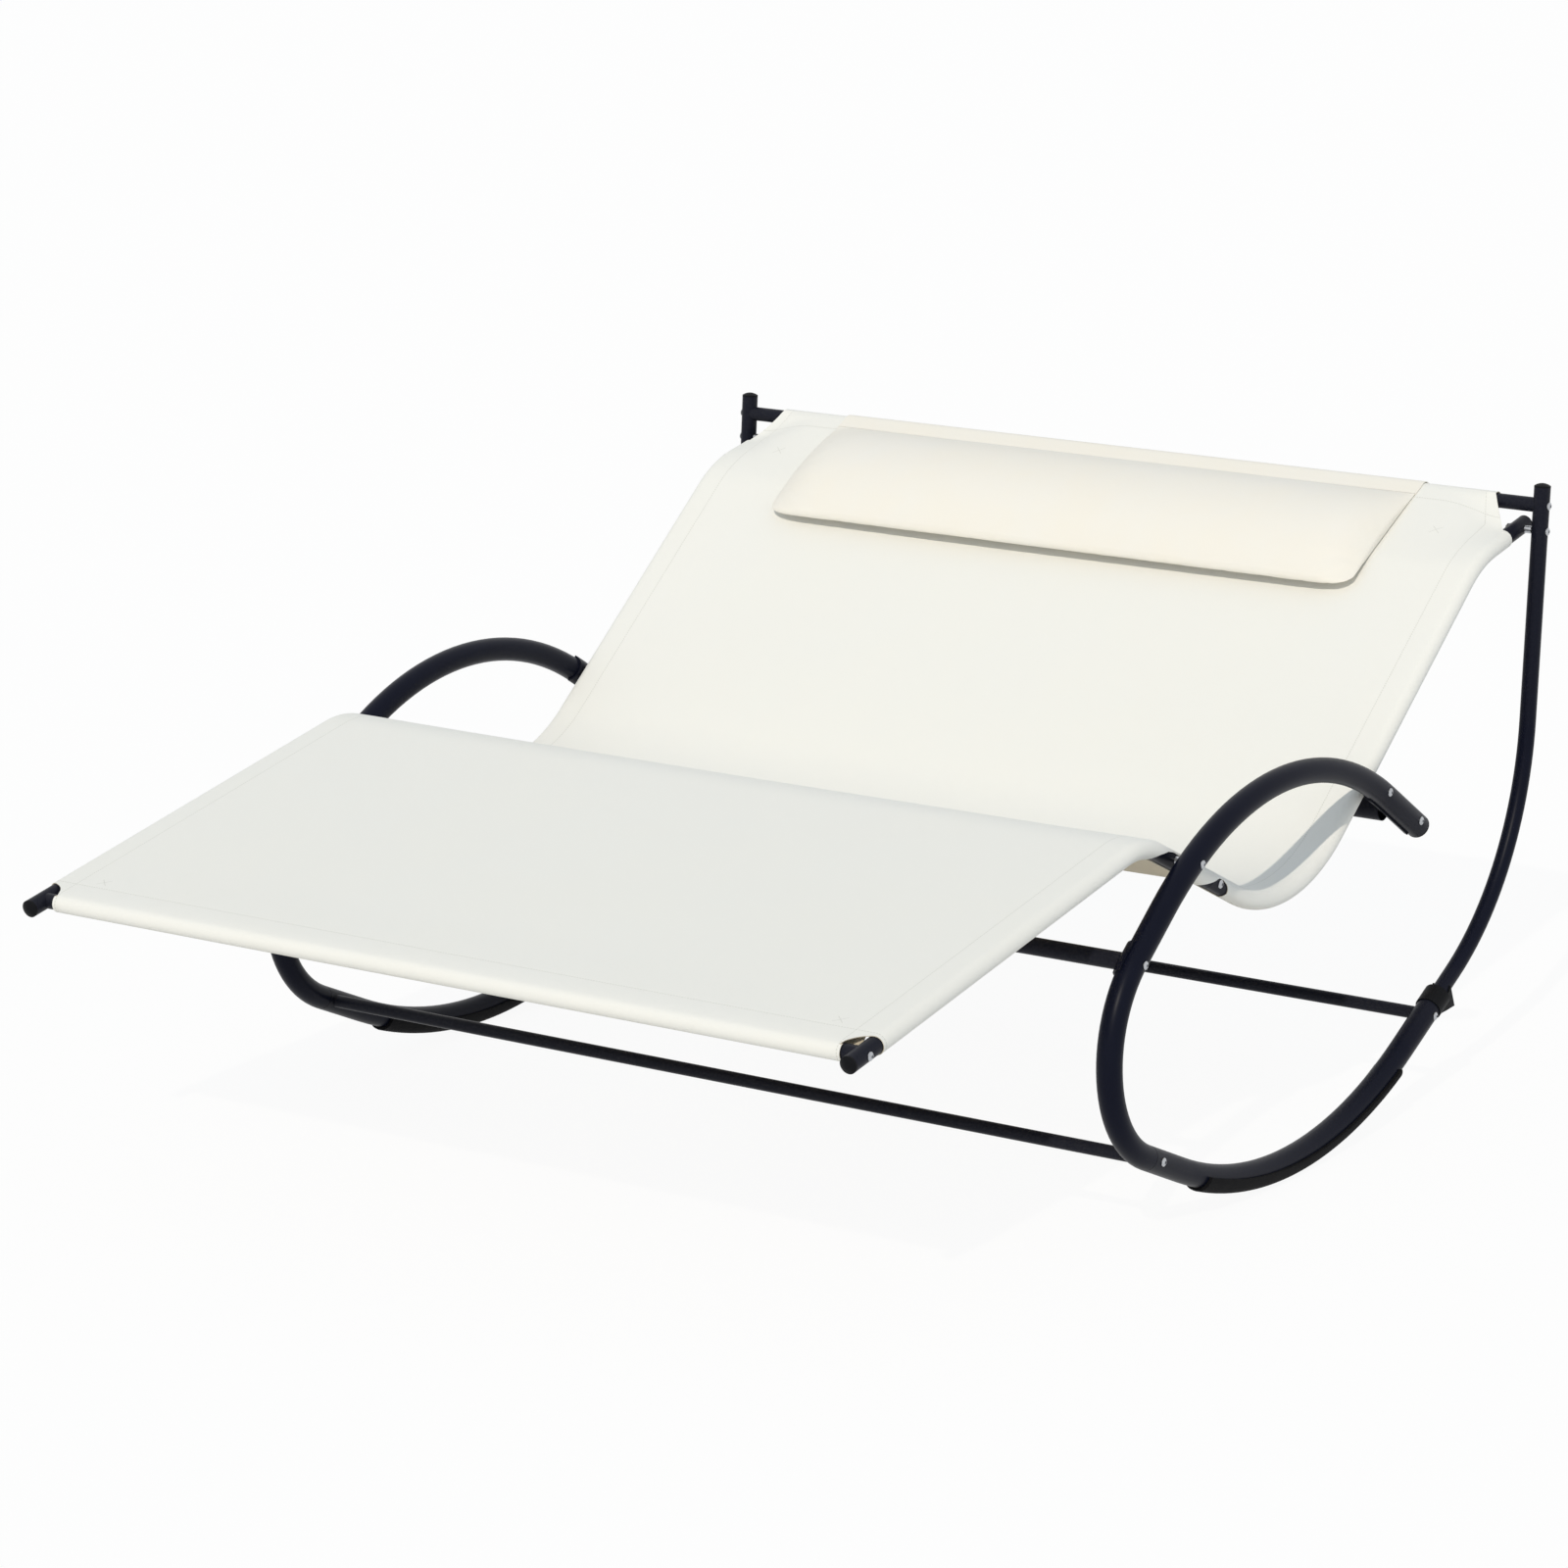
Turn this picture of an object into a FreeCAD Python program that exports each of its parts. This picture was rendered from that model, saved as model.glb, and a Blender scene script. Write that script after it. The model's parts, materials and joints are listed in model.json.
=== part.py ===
import FreeCAD, Part
import math
import os

# Two-person rocking lounger, millimetres, Z up, foot end at -Y, backrest at +Y.
# The side profile is drawn with Y = 0 above the rocker contact and Z = 0 on the
# floor. Every solid is then moved along Y so the origin is below the middle of
# the overall length. X is the width; right is +X, as seen from the foot end.

# widths
side_x = 714.0
rail_x = 678.0

# arm and rocker tube of each side frame
frame_r = 18.0
arm_wall = 1.8
rocker_wall = 2.0
rocker_radius = 740.0
rocker_front_angle = 24.0
rocker_rear_angle = 27.5
rocker_rear_straight = 117.5
arm_front_angle = 38.07
arm_front_radius = 168.0
arm_top_radius = 545.0
arm_top_y = -26.0
arm_top_z = 586.0
arm_end_angle = 32.6
arm_rear_straight = 120.0
spigot_length = 60.0
spigot_clear = 0.1
joint_step = 1.0

# wear strip under each rocker
strip_thick = 5.0
strip_front_angle = 19.9
strip_rear_angle = 24.0
strip_land = 60.0
strip_clear = 0.05
strip_bevel_angle = 35.0
strip_bevel = 30.0
strip_bevel_inset = 2.0

# uprights behind the backrest
upright_r = 12.5
upright_wall = 1.2
upright_bend = 415.0
upright_top_y = 739.5
upright_top_z = 877.0
upright_lean_angle = 86.2
upright_socket = 62.0

# bumper, collar and reducer on the rear end of each rocker
collar_length = 29.0
collar_wall = 2.0
collar_flange = 3.0
collar_clear = 0.1
bumper_width = 30.0
bumper_heel_back = 30.0
bumper_heel_drop = 19.5
bumper_sole = 24.0
bumper_sole_drop = 1.5
bumper_toe_back = -24.0
bumper_toe_drop = 22.0
bumper_top_back = 16.0
bumper_top_rise = 14.0

# seat rails
rail_r = 12.5
rail_wall = 2.0
foot_y = -1074.3
foot_z = 420.4
knee_y = -362.5
knee_z = 555.7
knee_radius = 140.0
dip_y = 49.9
dip_z = 354.5
dip_radius = 272.0
shoulder_y = 598.8
shoulder_below_top = 91.4
shoulder_radius = 185.0
rail_top_angle = 10.95
rail_top_past_bolt = 20.0
rail_joint_y = -164.3
rail_shoulder_to_bolt = 22.0
rail_spigot = 50.0

# crossbars
wide_bar_r = 18.0
wide_bar_wall = 1.5
wide_bar_from_end = 84.0
wide_bar_drop = 8.0
wide_bar_end_gap = 16.0
calf_bar_r = 12.5
calf_bar_wall = 2.0
calf_bar_z = 411.5
low_bar_r = 9.5
low_bar_wall = 1.2
front_bar_from_joint = 19.0
rear_bar_from_end = 42.0
end_bar_r = 11.0
foot_bar_wall = 1.8
top_bar_wall = 1.0
foot_bar_from_end = 29.8
top_bar_below_top = 27.0
cope_clear = 0.05

# cradles that hold the bars against the arm tubes
cradle_thick = 3.0
cradle_depth = 15.0
wide_cradle_length = 140.0
wide_bolt_spread = 58.0
calf_cradle_length = 46.0
cradle_clear = 0.05
cradle_tip_gap = 0.2

# bolts, inserts, nuts and spacers
bolt_r = 3.0
head_r = 6.0
head_height = 3.4
head_rim = 1.0
key_across = 4.0
key_depth = 2.0
hole_clear = 0.25
thread_clear = 0.05
insert_length = 18.0
insert_clear = 0.1
insert_setback = 1.5
nut_across = 10.0
nut_height = 5.0
flange_r = 6.5
flange_thick = 1.2
bolt_past_nut = 2.0
spacer_wall = 2.5

# plugs in the tube ends
plug_depth = 15.0
plug_clear = 0.1
plug_rim = 2.5
plug_dome = 4.0

# sling fabric
cloth = 1.1
sleeve_gap = 0.3
sleeve_wall = 1.4
hem_gap = 0.3
hem_wall = 2.1
panel_rise = 13.45
foot_sleeve_bare = 58.0
foot_hem_bare = 13.0
top_hem_bare = 60.0
top_sleeve_bare = 52.0
corner_run = 44.0
corner_reach = 150.0
corner_set_back = 10.0
corner_margin = 20.0
# openings in the sleeve at the bolts, as distances along the rail and off its middle
arm_slot = [(-66.0, -15.5), (-46.0, -3.5), (-27.0, 5.5), (-8.0, 8.5), (9.0, 7.5), (20.0, 0.0), (22.0, -15.5)]
joint_slot = [(-49.0, -15.5), (-23.0, -2.5), (-7.0, 7.0), (9.0, 7.0), (20.0, 0.0), (25.0, -7.0),
              (23.0, -15.5)]

# head cushion and its flap
cushion_half_width = 520.0
cushion_start = 26.0
cushion_length = 237.0
cushion_crown = 52.0
cushion_lift = 9.0
cushion_clear = 0.4
flap_thick = 1.2
flap_drop = 90.0
seam_gap = 0.3
cushion_nose = 20.0
cushion_edge = 2.0
cushion_tuck = 28.0


def turn(a, b):
    return a[0] * b[1] - a[1] * b[0]


def heading(degrees):
    return (math.cos(math.radians(degrees)), math.sin(math.radians(degrees)))


def crossing(p, u, q, v):
    t = turn((q[0] - p[0], q[1] - p[1]), v) / turn(u, v)
    return (p[0] + t * u[0], p[1] + t * u[1])


def moved(p, u, t):
    return (p[0] + t * u[0], p[1] + t * u[1])


def unit(p, q):
    d = math.hypot(q[0] - p[0], q[1] - p[1])
    return ((q[0] - p[0]) / d, (q[1] - p[1]) / d)


class Route:
    # a run of straights and tangent bends in the side plane, as (y, z) points
    def __init__(self, corners, radii):
        self.corners = corners
        self.radii = radii
        self.parts = []
        start = corners[0]
        for i, radius in enumerate(radii):
            corner = corners[i + 1]
            u = unit(corners[i], corner)
            v = unit(corner, corners[i + 2])
            bend = math.atan2(turn(u, v), u[0] * v[0] + u[1] * v[1])
            reach = radius * math.tan(abs(bend) / 2)
            first = moved(corner, u, -reach)
            side = 1.0 if bend > 0 else -1.0
            centre = moved(first, (-u[1], u[0]), side * radius)
            self.parts.append(("line", start, first))
            self.parts.append(("arc", centre, radius, first, bend))
            start = moved(corner, v, reach)
        self.parts.append(("line", start, corners[-1]))

    def length_of(self, part):
        if part[0] == "line":
            return math.hypot(part[2][0] - part[1][0], part[2][1] - part[1][1])
        return part[2] * abs(part[4])

    def length(self):
        return sum(self.length_of(part) for part in self.parts)

    def mark(self, index):
        return sum(self.length_of(part) for part in self.parts[:index])

    def inside(self, part, t):
        if part[0] == "line":
            u = unit(part[1], part[2])
            return moved(part[1], u, t), u
        centre, radius, first, bend = part[1:]
        side = 1.0 if bend > 0 else -1.0
        a = side * t / radius
        dy, dz = first[0] - centre[0], first[1] - centre[1]
        ry = dy * math.cos(a) - dz * math.sin(a)
        rz = dy * math.sin(a) + dz * math.cos(a)
        u = (-rz * side / radius, ry * side / radius)
        return (centre[0] + ry, centre[1] + rz), u

    def at(self, s):
        for part in self.parts:
            step = self.length_of(part)
            if s <= step or part is self.parts[-1]:
                return self.inside(part, s)
            s -= step

    def place_of(self, test, low, high):
        # distance along the route where test(point) changes sign
        rising = test(self.at(high)[0]) > 0
        for _ in range(60):
            middle = (low + high) / 2
            if (test(self.at(middle)[0]) > 0) == rising:
                high = middle
            else:
                low = middle
        return (low + high) / 2

    def edges(self, x, low, high):
        found = []
        start = 0.0
        for part in self.parts:
            step = self.length_of(part)
            a, b = max(low, start), min(high, start + step)
            if b - a > 1e-6:
                p = spot(x, self.inside(part, a - start)[0])
                q = spot(x, self.inside(part, b - start)[0])
                if part[0] == "line":
                    found.append(Part.makeLine(p, q))
                else:
                    m = spot(x, self.inside(part, (a + b) / 2 - start)[0])
                    found.append(Part.Arc(p, m, q).toShape())
            start += step
        return found

    def shifted(self, h):
        # the same route, h to the left of the travel direction
        points = []
        last = len(self.corners) - 1
        for i, corner in enumerate(self.corners):
            u = unit(self.corners[max(i - 1, 0)], self.corners[max(i, 1)])
            v = unit(self.corners[min(i, last - 1)], self.corners[min(i + 1, last)])
            p = moved(corner, (-u[1], u[0]), h)
            q = moved(corner, (-v[1], v[0]), h)
            points.append(p if abs(turn(u, v)) < 1e-9 else crossing(p, u, q, v))
        sizes = []
        for i, radius in enumerate(self.radii):
            bend = self.parts[2 * i + 1][4]
            sizes.append(radius - h if bend > 0 else radius + h)
        return Route(points, sizes)


def spot(x, p):
    return FreeCAD.Vector(x, p[0], p[1])


def rod(route, low, high, x, radius):
    start, u = route.at(low)
    ring = Part.Circle(spot(x, start), FreeCAD.Vector(0, u[0], u[1]), radius)
    path = Part.Wire(route.edges(x, low, high))
    return path.makePipeShell([Part.Wire(ring.toShape())], True, False)


def tube(route, low, high, x, outer, wall):
    return rod(route, low, high, x, outer).cut(rod(route, low, high, x, outer - wall))


def bar(x0, x1, p, radius):
    return Part.makeCylinder(radius, x1 - x0, spot(x0, p), FreeCAD.Vector(1, 0, 0))


def block(x0, x1, y0, y1, z0, z1):
    return Part.makeBox(x1 - x0, y1 - y0, z1 - z0, FreeCAD.Vector(x0, y0, z0))


def prism(points, x0, x1):
    wire = Part.makePolygon([spot(x0, p) for p in points + points[:1]])
    return Part.Face(wire).extrude(FreeCAD.Vector(x1 - x0, 0, 0))


def along(shape, x, p, u):
    # a shape made on +Z from the origin, set on point p and turned to direction u
    turned = shape.copy()
    turned.Placement = FreeCAD.Placement(
        spot(x, p), FreeCAD.Rotation(FreeCAD.Vector(0, 0, 1), FreeCAD.Vector(0, u[0], u[1])))
    return turned


def mirrored(shape):
    return shape.mirror(FreeCAD.Vector(0, 0, 0), FreeCAD.Vector(1, 0, 0))


def both(shapes):
    return Part.makeCompound(shapes + [mirrored(shape) for shape in shapes])


def hexagon(across, height):
    r = across / math.sqrt(3)
    points = [FreeCAD.Vector(r * math.cos(math.pi * k / 3), r * math.sin(math.pi * k / 3), 0)
              for k in range(7)]
    return Part.Face(Part.makePolygon(points)).extrude(FreeCAD.Vector(0, 0, height))


def outward(shape, x, p):
    # a shape made on +Z, laid along +X
    turned = shape.copy()
    turned.Placement = FreeCAD.Placement(
        spot(x, p), FreeCAD.Rotation(FreeCAD.Vector(0, 0, 1), FreeCAD.Vector(1, 0, 0)))
    return turned


def domed(radius, rim, height):
    # a disc whose outer face is part of a ball
    rise = height - rim
    ball = (radius * radius + rise * rise) / (2 * rise)
    disc = Part.makeCylinder(radius, height)
    return disc.common(Part.makeSphere(ball, FreeCAD.Vector(0, 0, height - ball)))


def bolt(seat, tip, p):
    # button head on the outer side of the seat, shank inward to the tip
    head = domed(head_r, head_rim, head_height)
    key = hexagon(key_across, key_depth)
    key.translate(FreeCAD.Vector(0, 0, head_height - key_depth))
    shank = Part.makeCylinder(bolt_r, seat - tip + head_rim, FreeCAD.Vector(0, 0, tip - seat))
    return outward(head.fuse(shank).removeSplitter().cut(key), seat, p)


def flange_nut(face, p):
    # seats on its +X side against the face, hexagon towards the middle
    body = hexagon(nut_across, nut_height)
    flange_seat = FreeCAD.Vector(0, 0, nut_height - flange_thick)
    body = body.fuse(Part.makeCylinder(flange_r, flange_thick, flange_seat))
    hole = Part.makeCylinder(bolt_r + thread_clear, nut_height)
    return outward(body.removeSplitter().cut(hole), face - nut_height, p)


def insert(bar_radius, face, p):
    outer = face - insert_setback
    body = bar(outer - insert_length, outer, p, bar_radius - insert_clear)
    return body.cut(bar(outer - insert_length, outer, p, bolt_r + thread_clear))


def insert_tip(face):
    return face - insert_setback - insert_length


def spacer(inner, outer, p):
    body = bar(inner, outer, p, bolt_r + hole_clear + spacer_wall)
    return body.cut(bar(inner, outer, p, bolt_r + hole_clear))


def drilled(shape, x0, x1, points, clear=hole_clear):
    for p in points:
        shape = shape.cut(bar(x0, x1, p, bolt_r + clear))
    return shape


def plug(outer, wall, x, p, u):
    stem = Part.makeCylinder(outer - wall - plug_clear, plug_depth + plug_rim / 2,
                             FreeCAD.Vector(0, 0, -plug_depth))
    return along(domed(outer, plug_rim, plug_rim + plug_dome).fuse(stem).removeSplitter(), x, p, u)


def cradle(route, s, length, x, radius):
    shell = tube(route, s - length / 2, s + length / 2, x, radius + cradle_clear + cradle_thick,
                 cradle_thick)
    p = route.at(s)[0]
    reach = length + 4 * radius
    keep = block(x - 2 * radius, x - radius + cradle_depth, p[0] - reach, p[0] + reach,
                 p[1] - reach, p[1] + reach)
    return shell.common(keep)


def thick(route, low, high, down, up, x0, x1):
    # a sheet between two offsets of a route, drawn across from x0 to x1
    a, b = route.at(low), route.at(high)
    top = route.shifted(up)
    bottom = route.shifted(down)
    ends = []
    for line in (top, bottom):
        marks = []
        for (p, u), guess in ((a, low), (b, high)):
            span = abs(up) + abs(down) + 40.0
            marks.append(line.place_of(
                lambda q: (q[0] - p[0]) * u[0] + (q[1] - p[1]) * u[1],
                max(guess - span, 0.0), min(guess + span, line.length())))
        ends.append(marks)
    edges = top.edges(x0, ends[0][0], ends[0][1]) + bottom.edges(x0, ends[1][0], ends[1][1])
    for k in (0, 1):
        edges.append(Part.makeLine(spot(x0, top.at(ends[0][k])[0]), spot(x0, bottom.at(ends[1][k])[0])))
    wire = Part.Wire(Part.__sortEdges__(edges))
    return Part.Face(wire).extrude(FreeCAD.Vector(x1 - x0, 0, 0))


# outline of one side frame
strip_r = frame_r + strip_thick
rocker_z = math.sqrt((rocker_radius + strip_r) ** 2 - (strip_land / 2) ** 2)
front_run = heading(-rocker_front_angle)
rear_run = heading(rocker_rear_angle)
rocker_front = (rocker_radius * front_run[1], rocker_z - rocker_radius * front_run[0])
rocker_rear = (rocker_radius * rear_run[1], rocker_z - rocker_radius * rear_run[0])
rocker_end = moved(rocker_rear, rear_run, rocker_rear_straight)
arm_run = heading(arm_front_angle)
arm_centre = (arm_top_y, arm_top_z - arm_top_radius)
arm_front = moved(arm_centre, (-arm_run[1], arm_run[0]), arm_top_radius)
arm_rear_run = heading(-arm_end_angle)
arm_rear = moved(arm_centre, (-arm_rear_run[1], arm_rear_run[0]), arm_top_radius)
arm_end = moved(arm_rear, arm_rear_run, arm_rear_straight)
loop = Route([arm_end,
              crossing(arm_rear, arm_rear_run, arm_front, arm_run),
              crossing(arm_front, arm_run, rocker_front, front_run),
              crossing(rocker_front, front_run, rocker_rear, rear_run),
              rocker_end],
             [arm_top_radius, arm_front_radius, rocker_radius])
joint_s = loop.mark(4) + joint_step
loop_end = loop.length()

upright_run = heading(upright_lean_angle)
upright_top = (upright_top_y, upright_top_z)
upright = Route([moved(rocker_end, rear_run, -upright_socket),
                 crossing(rocker_rear, rear_run, upright_top, upright_run),
                 upright_top],
                [upright_bend])

rail_top_run = heading(rail_top_angle)
shoulder = (shoulder_y, upright_top_z - shoulder_below_top)
rail_top_bolt = crossing(shoulder, rail_top_run, upright_top, upright_run)
rail = Route([(foot_y, foot_z), (knee_y, knee_z), (dip_y, dip_z), shoulder,
              moved(rail_top_bolt, rail_top_run, rail_top_past_bolt)],
             [knee_radius, dip_radius, shoulder_radius])
rail_end = rail.length()
rail_bolt_s = rail.place_of(lambda q: q[0] - rail_joint_y, rail.mark(1), rail.mark(4))
rail_bolt = rail.at(rail_bolt_s)[0]
rail_joint_s = rail_bolt_s - rail_shoulder_to_bolt

# where the bars and bolts sit
wide_s = wide_bar_from_end
wide_seat = loop.at(wide_s)[0]
wide_bar = moved(wide_seat, heading(-arm_end_angle - 90.0), wide_bar_drop)
wide_bolts = [loop.at(wide_s - wide_bolt_spread)[0], loop.at(wide_s + wide_bolt_spread)[0]]
calf_s = loop.place_of(lambda q: q[1] - calf_bar_z, loop.mark(2) - arm_front_radius, loop.mark(4))
calf_bar = loop.at(calf_s)[0]
front_bar = loop.at(joint_s + front_bar_from_joint)[0]
rear_bar = loop.at(loop_end - rear_bar_from_end)[0]
foot_bar = rail.at(foot_bar_from_end)[0]
top_bar = crossing(upright_top, upright_run, (0.0, upright_top_z - top_bar_below_top), (1.0, 0.0))
arm_rail_s = rail.place_of(
    lambda q: math.hypot(q[0] - arm_centre[0], q[1] - arm_centre[1]) - arm_top_radius,
    rail.mark(2), rail.mark(3))
arm_rail = rail.at(arm_rail_s)[0]

# flat faces that meet, measured along X
frame_outer = side_x + frame_r
frame_inner = side_x - frame_r
cradle_face = frame_inner - cradle_clear - cradle_thick
rail_outer = rail_x + rail_r
rail_inner = rail_x - rail_r
upright_outer = side_x + upright_r
upright_inner = side_x - upright_r
past = nut_height + bolt_past_nut
rocker_inner_r = frame_r - rocker_wall

# overall length, for the origin
foot_cap = moved((foot_y, foot_z), unit((knee_y, knee_z), (foot_y, foot_z)), plug_rim + plug_dome)
flap_r = panel_rise + cloth / 2 + cushion_clear + flap_thick / 2
back_reach = max(top_bar[0] + flap_r + flap_thick / 2, upright_top_y + upright_r)
centre_y = (foot_cap[0] + back_reach) / 2


def save(name, shape):
    placed = shape.copy()
    placed.translate(FreeCAD.Vector(0, -centre_y, 0))
    placed.exportStep("parts/" + name + ".step")
    print(name, len(placed.Solids), placed.isValid(), round(placed.Volume / 1000.0, 1))


def save_pair(name, shape):
    save("right_" + name, shape)
    save("left_" + name, mirrored(shape))


os.makedirs("parts", exist_ok=True)

# arm tube: rear end, crown, front bend, and a reduced spigot at its lower end
spigot_r = rocker_inner_r - spigot_clear
arm = tube(loop, 0.0, joint_s, side_x, frame_r, arm_wall)
neck = tube(loop, joint_s - 0.5, joint_s + spigot_length, side_x, spigot_r, arm_wall)
ring = rod(loop, joint_s - 4.0, joint_s, side_x, frame_r - arm_wall / 2)
arm = arm.fuse(ring.cut(rod(loop, joint_s - 4.0, joint_s, side_x, spigot_r - arm_wall)))
arm = arm.fuse(neck).removeSplitter()
arm = drilled(arm, 0.0, frame_outer + 5.0,
              wide_bolts + [arm_rail, calf_bar, front_bar])
save_pair("arm_tube", arm)

rocker = tube(loop, joint_s + joint_step, loop_end, side_x, frame_r, rocker_wall)
save_pair("rocker_tube", drilled(rocker, 0.0, frame_outer + 5.0, [front_bar, rear_bar]))

# wear strip: the lower half of a sleeve, with a flat land where it meets the floor
floor_ring = Part.makeCylinder(strip_r, 1.0, FreeCAD.Vector(side_x, 0, rocker_z - rocker_radius),
                               FreeCAD.Vector(0, 1, 0))
floor_ring = floor_ring.cut(Part.makeCylinder(frame_r + strip_clear, 1.0, FreeCAD.Vector(
    side_x, 0, rocker_z - rocker_radius), FreeCAD.Vector(0, 1, 0)))
floor_ring = floor_ring.common(block(side_x - strip_r, side_x + strip_r, 0.0, 1.0,
                                     rocker_z - rocker_radius - strip_r, rocker_z - rocker_radius))
section = [face for face in floor_ring.Faces if abs(face.CenterOfMass.y) < 1e-6][0]
section.rotate(FreeCAD.Vector(0, 0, rocker_z), FreeCAD.Vector(1, 0, 0), -strip_front_angle)
strip = section.revolve(FreeCAD.Vector(0, 0, rocker_z), FreeCAD.Vector(1, 0, 0),
                        strip_front_angle + strip_rear_angle)
strip = strip.cut(block(0.0, side_x + 2 * strip_r, -rocker_radius, rocker_radius, -strip_r, 0.0))
for tip, side in ((-strip_front_angle, -1.0), (strip_rear_angle, 1.0)):
    bevel = Part.makeBox(4 * strip_r, strip_bevel, strip_bevel,
                         FreeCAD.Vector(side_x - 2 * strip_r, -strip_bevel / 2, -strip_bevel))
    bevel.rotate(FreeCAD.Vector(0, 0, 0), FreeCAD.Vector(1, 0, 0), side * strip_bevel_angle + tip)
    bevel_r = rocker_radius + strip_r - strip_bevel_inset
    bevel.translate(FreeCAD.Vector(0, bevel_r * math.sin(math.radians(tip)),
                                   rocker_z - bevel_r * math.cos(math.radians(tip))))
    strip = strip.cut(bevel)
save_pair("wear_strip", strip)

save_pair("upright", drilled(tube(upright, 0.0, upright.length(), side_x, upright_r, upright_wall),
                             0.0, upright_outer + 5.0, [rear_bar, rail_top_bolt, top_bar]))

# one moulding: collar round the rocker, reducer inside it and the bumper wedge
collar = Part.makeCylinder(frame_r + collar_clear + collar_wall, collar_length + collar_flange,
                           FreeCAD.Vector(0, 0, -collar_length))
collar = collar.cut(Part.makeCylinder(frame_r + collar_clear, collar_length,
                                      FreeCAD.Vector(0, 0, -collar_length)))
reducer = Part.makeCylinder(rocker_inner_r - collar_clear, upright_socket,
                            FreeCAD.Vector(0, 0, -upright_socket + 0.5))
collar = along(collar.fuse(reducer), side_x, rocker_end, rear_run)
heel_y = rocker_end[0] + bumper_heel_back
heel_z = rocker_end[1] - bumper_heel_drop
wedge_points = [(rocker_end[0] + bumper_toe_back, rocker_end[1] - bumper_toe_drop),
                (heel_y - bumper_sole, heel_z - bumper_sole_drop), (heel_y, heel_z),
                (rocker_end[0] + bumper_top_back, rocker_end[1] + bumper_top_rise),
                moved(rocker_end, rear_run, 12.0), moved(rocker_end, rear_run, -10.0)]
wedge = prism(wedge_points, side_x - bumper_width / 2, side_x + bumper_width / 2)
wedge = wedge.cut(rod(loop, loop_end - 60.0, loop_end, side_x, frame_r + collar_clear))
bumper = collar.fuse(wedge)
bumper = bumper.cut(rod(upright, 0.0, upright.length() / 2, side_x, upright_r + collar_clear))
bumper = drilled(bumper.removeSplitter(), 0.0, frame_outer + 5.0, [rear_bar])
save_pair("rear_bumper", bumper)

# seat rails, the lower one with a reduced end that plugs into the upper one
leg = tube(rail, 0.0, rail_joint_s, rail_x, rail_r, rail_wall)
rail_spigot_r = rail_r - rail_wall - spigot_clear
leg = leg.fuse(tube(rail, rail_joint_s - 0.5, rail_joint_s + rail_spigot, rail_x, rail_spigot_r, rail_wall))
leg = leg.fuse(tube(rail, rail_joint_s - 4.0, rail_joint_s, rail_x, rail_r - rail_wall / 2,
                    rail_r - rail_wall / 2 - rail_spigot_r + rail_wall)).removeSplitter()
save_pair("leg_rail", drilled(leg, 0.0, rail_outer + 5.0, [foot_bar, arm_rail, rail_bolt]))
back = tube(rail, rail_joint_s + joint_step, rail_end, rail_x, rail_r, rail_wall)
save_pair("back_rail", drilled(back, 0.0, rail_outer + 5.0, [rail_bolt, rail_top_bolt]))


def crossbar(reach, p, radius, wall, route, low, high, x, keep_out):
    body = bar(-reach, reach, p, radius).cut(bar(-reach, reach, p, radius - wall))
    cope = rod(route, low, high, x, keep_out)
    return body.cut(cope).cut(mirrored(cope))


frame_cope = frame_r + cope_clear
cradle_cope = frame_r + cradle_clear + cradle_thick + cope_clear
save("arm_rear_crossbar", crossbar(side_x - wide_bar_end_gap, wide_bar, wide_bar_r, wide_bar_wall,
                                   loop, wide_s - 60.0, wide_s + 60.0, side_x, cradle_cope))
save("calf_crossbar", crossbar(side_x - 10.0, calf_bar, calf_bar_r, calf_bar_wall, loop,
                               calf_s - 40.0, calf_s + 40.0, side_x, cradle_cope))
save("front_low_crossbar", crossbar(side_x - 10.0, front_bar, low_bar_r, low_bar_wall, loop,
                                    joint_s - 20.0, joint_s + 60.0, side_x, frame_cope))
save("rear_low_crossbar", crossbar(side_x - 10.0, rear_bar, low_bar_r, low_bar_wall, loop,
                                   loop_end - 80.0, loop_end, side_x, frame_cope))
save("foot_crossbar", crossbar(rail_x - 4.0, foot_bar, end_bar_r, foot_bar_wall, rail,
                               0.0, 80.0, rail_x, rail_r + cope_clear))
save("top_crossbar", crossbar(side_x - 4.0, top_bar, end_bar_r, top_bar_wall, upright,
                              upright.length() - 80.0, upright.length(), side_x,
                              upright_r + cope_clear))

save_pair("arm_cradle", drilled(cradle(loop, wide_s, wide_cradle_length, side_x, frame_r),
                                0.0, frame_outer, wide_bolts, thread_clear))
save_pair("calf_cradle", drilled(cradle(loop, calf_s, calf_cradle_length, side_x, frame_r),
                                 0.0, frame_outer, [calf_bar]))

# threaded inserts in the bar ends, and the bolts that reach them
for name, seat, face, p, radius in (
        ("calf_bar", frame_outer, cradle_face, calf_bar, calf_bar_r - calf_bar_wall),
        ("front_low_bar", frame_outer, frame_inner, front_bar, low_bar_r - low_bar_wall),
        ("rear_low_bar", frame_outer, frame_inner, rear_bar, low_bar_r - low_bar_wall),
        ("foot_bar", rail_outer, rail_inner, foot_bar, end_bar_r - foot_bar_wall),
        ("top_bar", upright_outer, upright_inner, top_bar, end_bar_r - top_bar_wall)):
    save(name + "_inserts", both([insert(radius, face, p)]))
    save(name + "_bolts", both([bolt(seat, insert_tip(face), p)]))

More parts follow.
